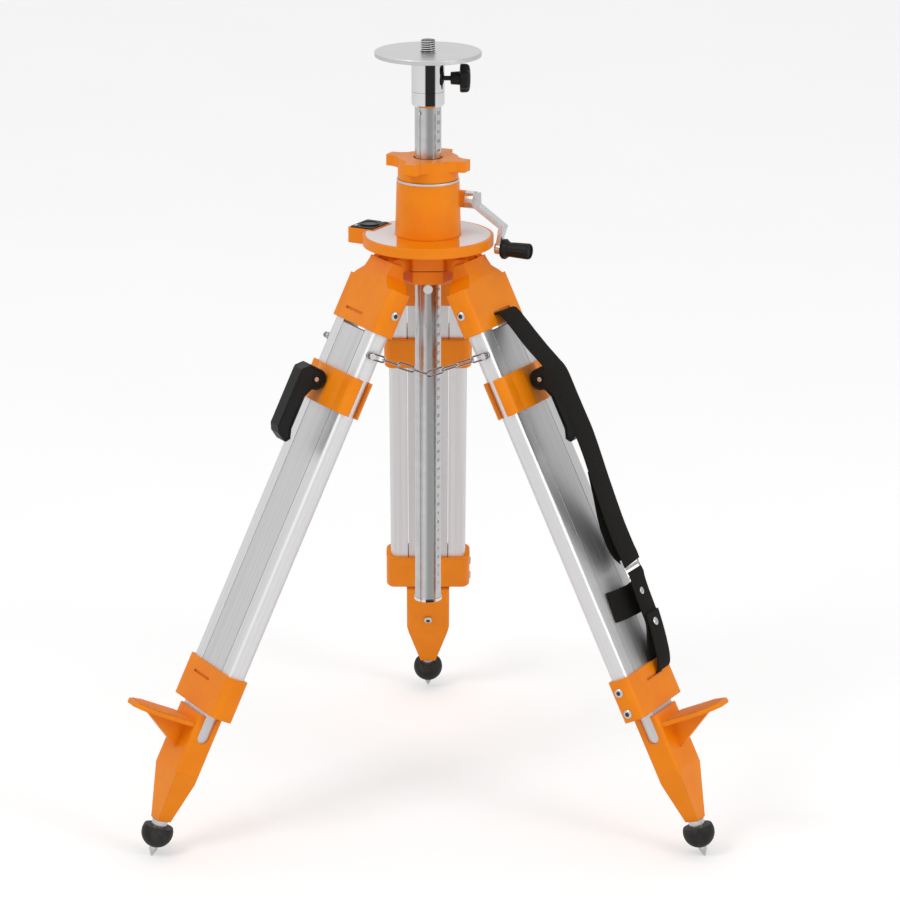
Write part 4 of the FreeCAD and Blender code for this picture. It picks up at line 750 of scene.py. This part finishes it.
def build_lever_rims(leg):
    """Raised rim round each flat side of the clamp lever, and a ring round its pivot pin."""
    space = LEG_FRAMES[leg]
    hub, pin_ring = 10.2, 4.6
    outline = [(LEVER_PIVOT_OUT + 1, 130.0), (45.5, 128.8), (52.3, 134.6), (52.3, 199.4), (49.0, 205.6),
               (39.2, 211.6), (35.4, 207.6), (38.6, 198.0), (38.6, 161.0), (34.0, 151.2)]
    outline += [(LEVER_PIVOT_OUT + hub * math.cos(a), LEVER_PIVOT_DROP + hub * math.sin(a))
                for a in (math.radians(angle) for angle in range(95, 266, 19))]
    for across, label in ((1, "a"), (-1, "b")):
        side = across * LEVER_HALF
        loop = [(out, side, -drop) for out, drop in outline]
        bent_wire(f"{leg}_lever_rim_{label}", loop, 1.25, f"{leg}_lever", "black_plastic", space)
        ring = [(LEVER_PIVOT_OUT + pin_ring * math.cos(a), side, pin_ring * math.sin(a) - LEVER_PIVOT_DROP)
                for a in (2 * math.pi * k / 24 for k in range(24))]
        bent_wire(f"{leg}_lever_ring_{label}", ring, 0.9, f"{leg}_lever", "black_plastic", space)


def build_screw_heads(leg):
    """Heads on the bracket's two edges, one edge of the collar and the foot's inner face."""
    space = LEG_FRAMES[leg]
    for across, drop, label in ((1, 47, "bracket_a"), (-1, 47, "bracket_b"), (-1, 476, "collar_a"),
                                (-1, 500, "collar_b")):
        seat = space @ Matrix.Translation(Vector((-2, across * CASTING_HALF, -drop)) * MM)
        seat = seat @ Matrix.Rotation(-across * math.pi / 2, 4, "X")
        socket_screw(f"{leg}_screw_head_{label}", seat, f"{leg}_leg_upper")
    seat = space @ Matrix.Translation(Vector(FOOT_SCREW) * MM) @ Matrix.Rotation(-math.pi / 2, 4, "Y")
    socket_screw(f"{leg}_foot_screw_head", seat, f"{leg}_leg_lower")


def build_pedal_ribs(leg):
    """Low ribs across the pedal, shorter where its tip narrows."""
    start, end, pitch, rib = 20.0, 80.0, 3.0, 1.7
    narrow_from, half_width, taper = 62.0, 19.5, 0.62
    root, crest, slope = PEDAL_TOP - 0.2, PEDAL_TOP + 0.75, 0.35
    verts, faces = [], []
    for k in range(int((end - start) / pitch)):
        x = start + k * pitch
        half = half_width - max(0.0, x - narrow_from) * taper
        base = len(verts)
        for along, height in ((x, root), (x + slope, crest), (x + rib - slope, crest), (x + rib, root)):
            verts.extend(((along, -half, height), (along, half, height)))
        faces.extend((base + a, base + a + 1, base + b + 1, base + b)
                     for a, b in ((0, 2), (2, 4), (4, 6), (6, 0)))
        faces.extend(((base, base + 2, base + 4, base + 6), (base + 1, base + 3, base + 5, base + 7)))
    piece(f"{leg}_pedal_ribs", verts, faces, f"{leg}_leg_lower", "orange_paint", LEG_FRAMES[leg])


# ---------------------------------------------------------------- floor, light and camera

FLOOR_HEIGHT, FLOOR_REACH = -0.835, 14.0
CAMERA_PLACE = (0, -3.610, 0.6775)
CAMERA_TILT_DOWN = 17.13
CAMERA_LENS, CAMERA_SHIFT = 140.06, 0.0244


def glow(name, place, turn, size, power):
    """A soft white panel light."""
    lamp = bpy.data.lights.new(name, "AREA")
    lamp.shape = "RECTANGLE"
    lamp.size, lamp.size_y = size
    lamp.energy = power
    made = bpy.data.objects.new(name, lamp)
    made.location = place
    made.rotation_euler = [math.radians(angle) for angle in turn]
    bpy.context.scene.collection.objects.link(made)


def build_floor():
    mesh = bpy.data.meshes.new("floor")
    corners = [(-FLOOR_REACH, -FLOOR_REACH), (FLOOR_REACH, -FLOOR_REACH), (FLOOR_REACH, FLOOR_REACH),
               (-FLOOR_REACH, FLOOR_REACH)]
    mesh.from_pydata([(x, y, FLOOR_HEIGHT) for x, y in corners], [], [(0, 1, 2, 3)])
    mesh.materials.append(material("floor_paper", floor_paper))
    floor = bpy.data.objects.new("floor", mesh)
    bpy.context.scene.collection.objects.link(floor)


def floor_paper(tree, shader):
    """Pale paper sweep, lifted a little towards white where the camera sees it directly."""
    seen = add(tree, "ShaderNodeLightPath").outputs["Is Camera Ray"]
    finish_shader(tree, shader, {
        "Base Color": blend_colours(tree, noise(tree, place_in(tree), 3.0), (0.90, 0.90, 0.90),
                                    (0.93, 0.93, 0.93)),
        "Roughness": 0.9, "Specular IOR Level": 0.1,
        "Emission Color": (1.0, 1.0, 1.0), "Emission Strength": maths(tree, "MULTIPLY", seen, 0.22),
    })


def build_world():
    """White for the camera; reflections see a room that is bright above and duller low down."""
    world = bpy.data.worlds.new("studio")
    world.use_nodes = True
    tree = world.node_tree
    background = tree.nodes["Background"]
    direction = add(tree, "ShaderNodeTexCoord").outputs["Generated"]
    right, _, up = add(tree, "ShaderNodeSeparateXYZ", {0: direction}).outputs[:3]
    shade = maths(tree, "MULTIPLY", spread(tree, up, -0.4, 0.6, 0.50, 0.98),
                  spread(tree, right, 0.0, 0.9, 1.0, 0.72))
    room = blend_colours(tree, shade, (0.0, 0.0, 0.0), (1.0, 1.0, 1.0))
    rays = add(tree, "ShaderNodeLightPath").outputs
    lit = blend_colours(tree, rays["Is Diffuse Ray"], room, (0.72, 0.72, 0.72))
    shown = blend_colours(tree, rays["Is Camera Ray"], lit, (1.0, 1.0, 1.0))
    tree.links.new(shown, background.inputs["Color"])
    background.inputs["Strength"].default_value = 1.0
    bpy.context.scene.world = world
    bpy.context.scene.view_settings.view_transform = "Standard"


def build_camera():
    lens = bpy.data.cameras.new("camera")
    lens.lens = CAMERA_LENS
    lens.shift_x = CAMERA_SHIFT
    lens.clip_end = 60
    camera = bpy.data.objects.new("camera", lens)
    camera.location = CAMERA_PLACE
    camera.rotation_euler = (math.radians(90 - CAMERA_TILT_DOWN), 0, 0)
    bpy.context.scene.collection.objects.link(camera)
    bpy.context.scene.camera = camera


dress_frame()
build_strap()
build_threaded_stud()
build_lock_knob()
build_grip()
build_column_scale()
for leg_name in LEGS:
    build_lever_rims(leg_name)
    build_screw_heads(leg_name)
    build_pedal_ribs(leg_name)
build_floor()
build_world()
build_camera()
glow("key", (-2.4, -2.2, 2.8), (52, 0, -48), (1.4, 1.4), 36)
glow("fill", (2.6, -2.0, 1.0), (68, 0, 52), (1.2, 2.0), 22)
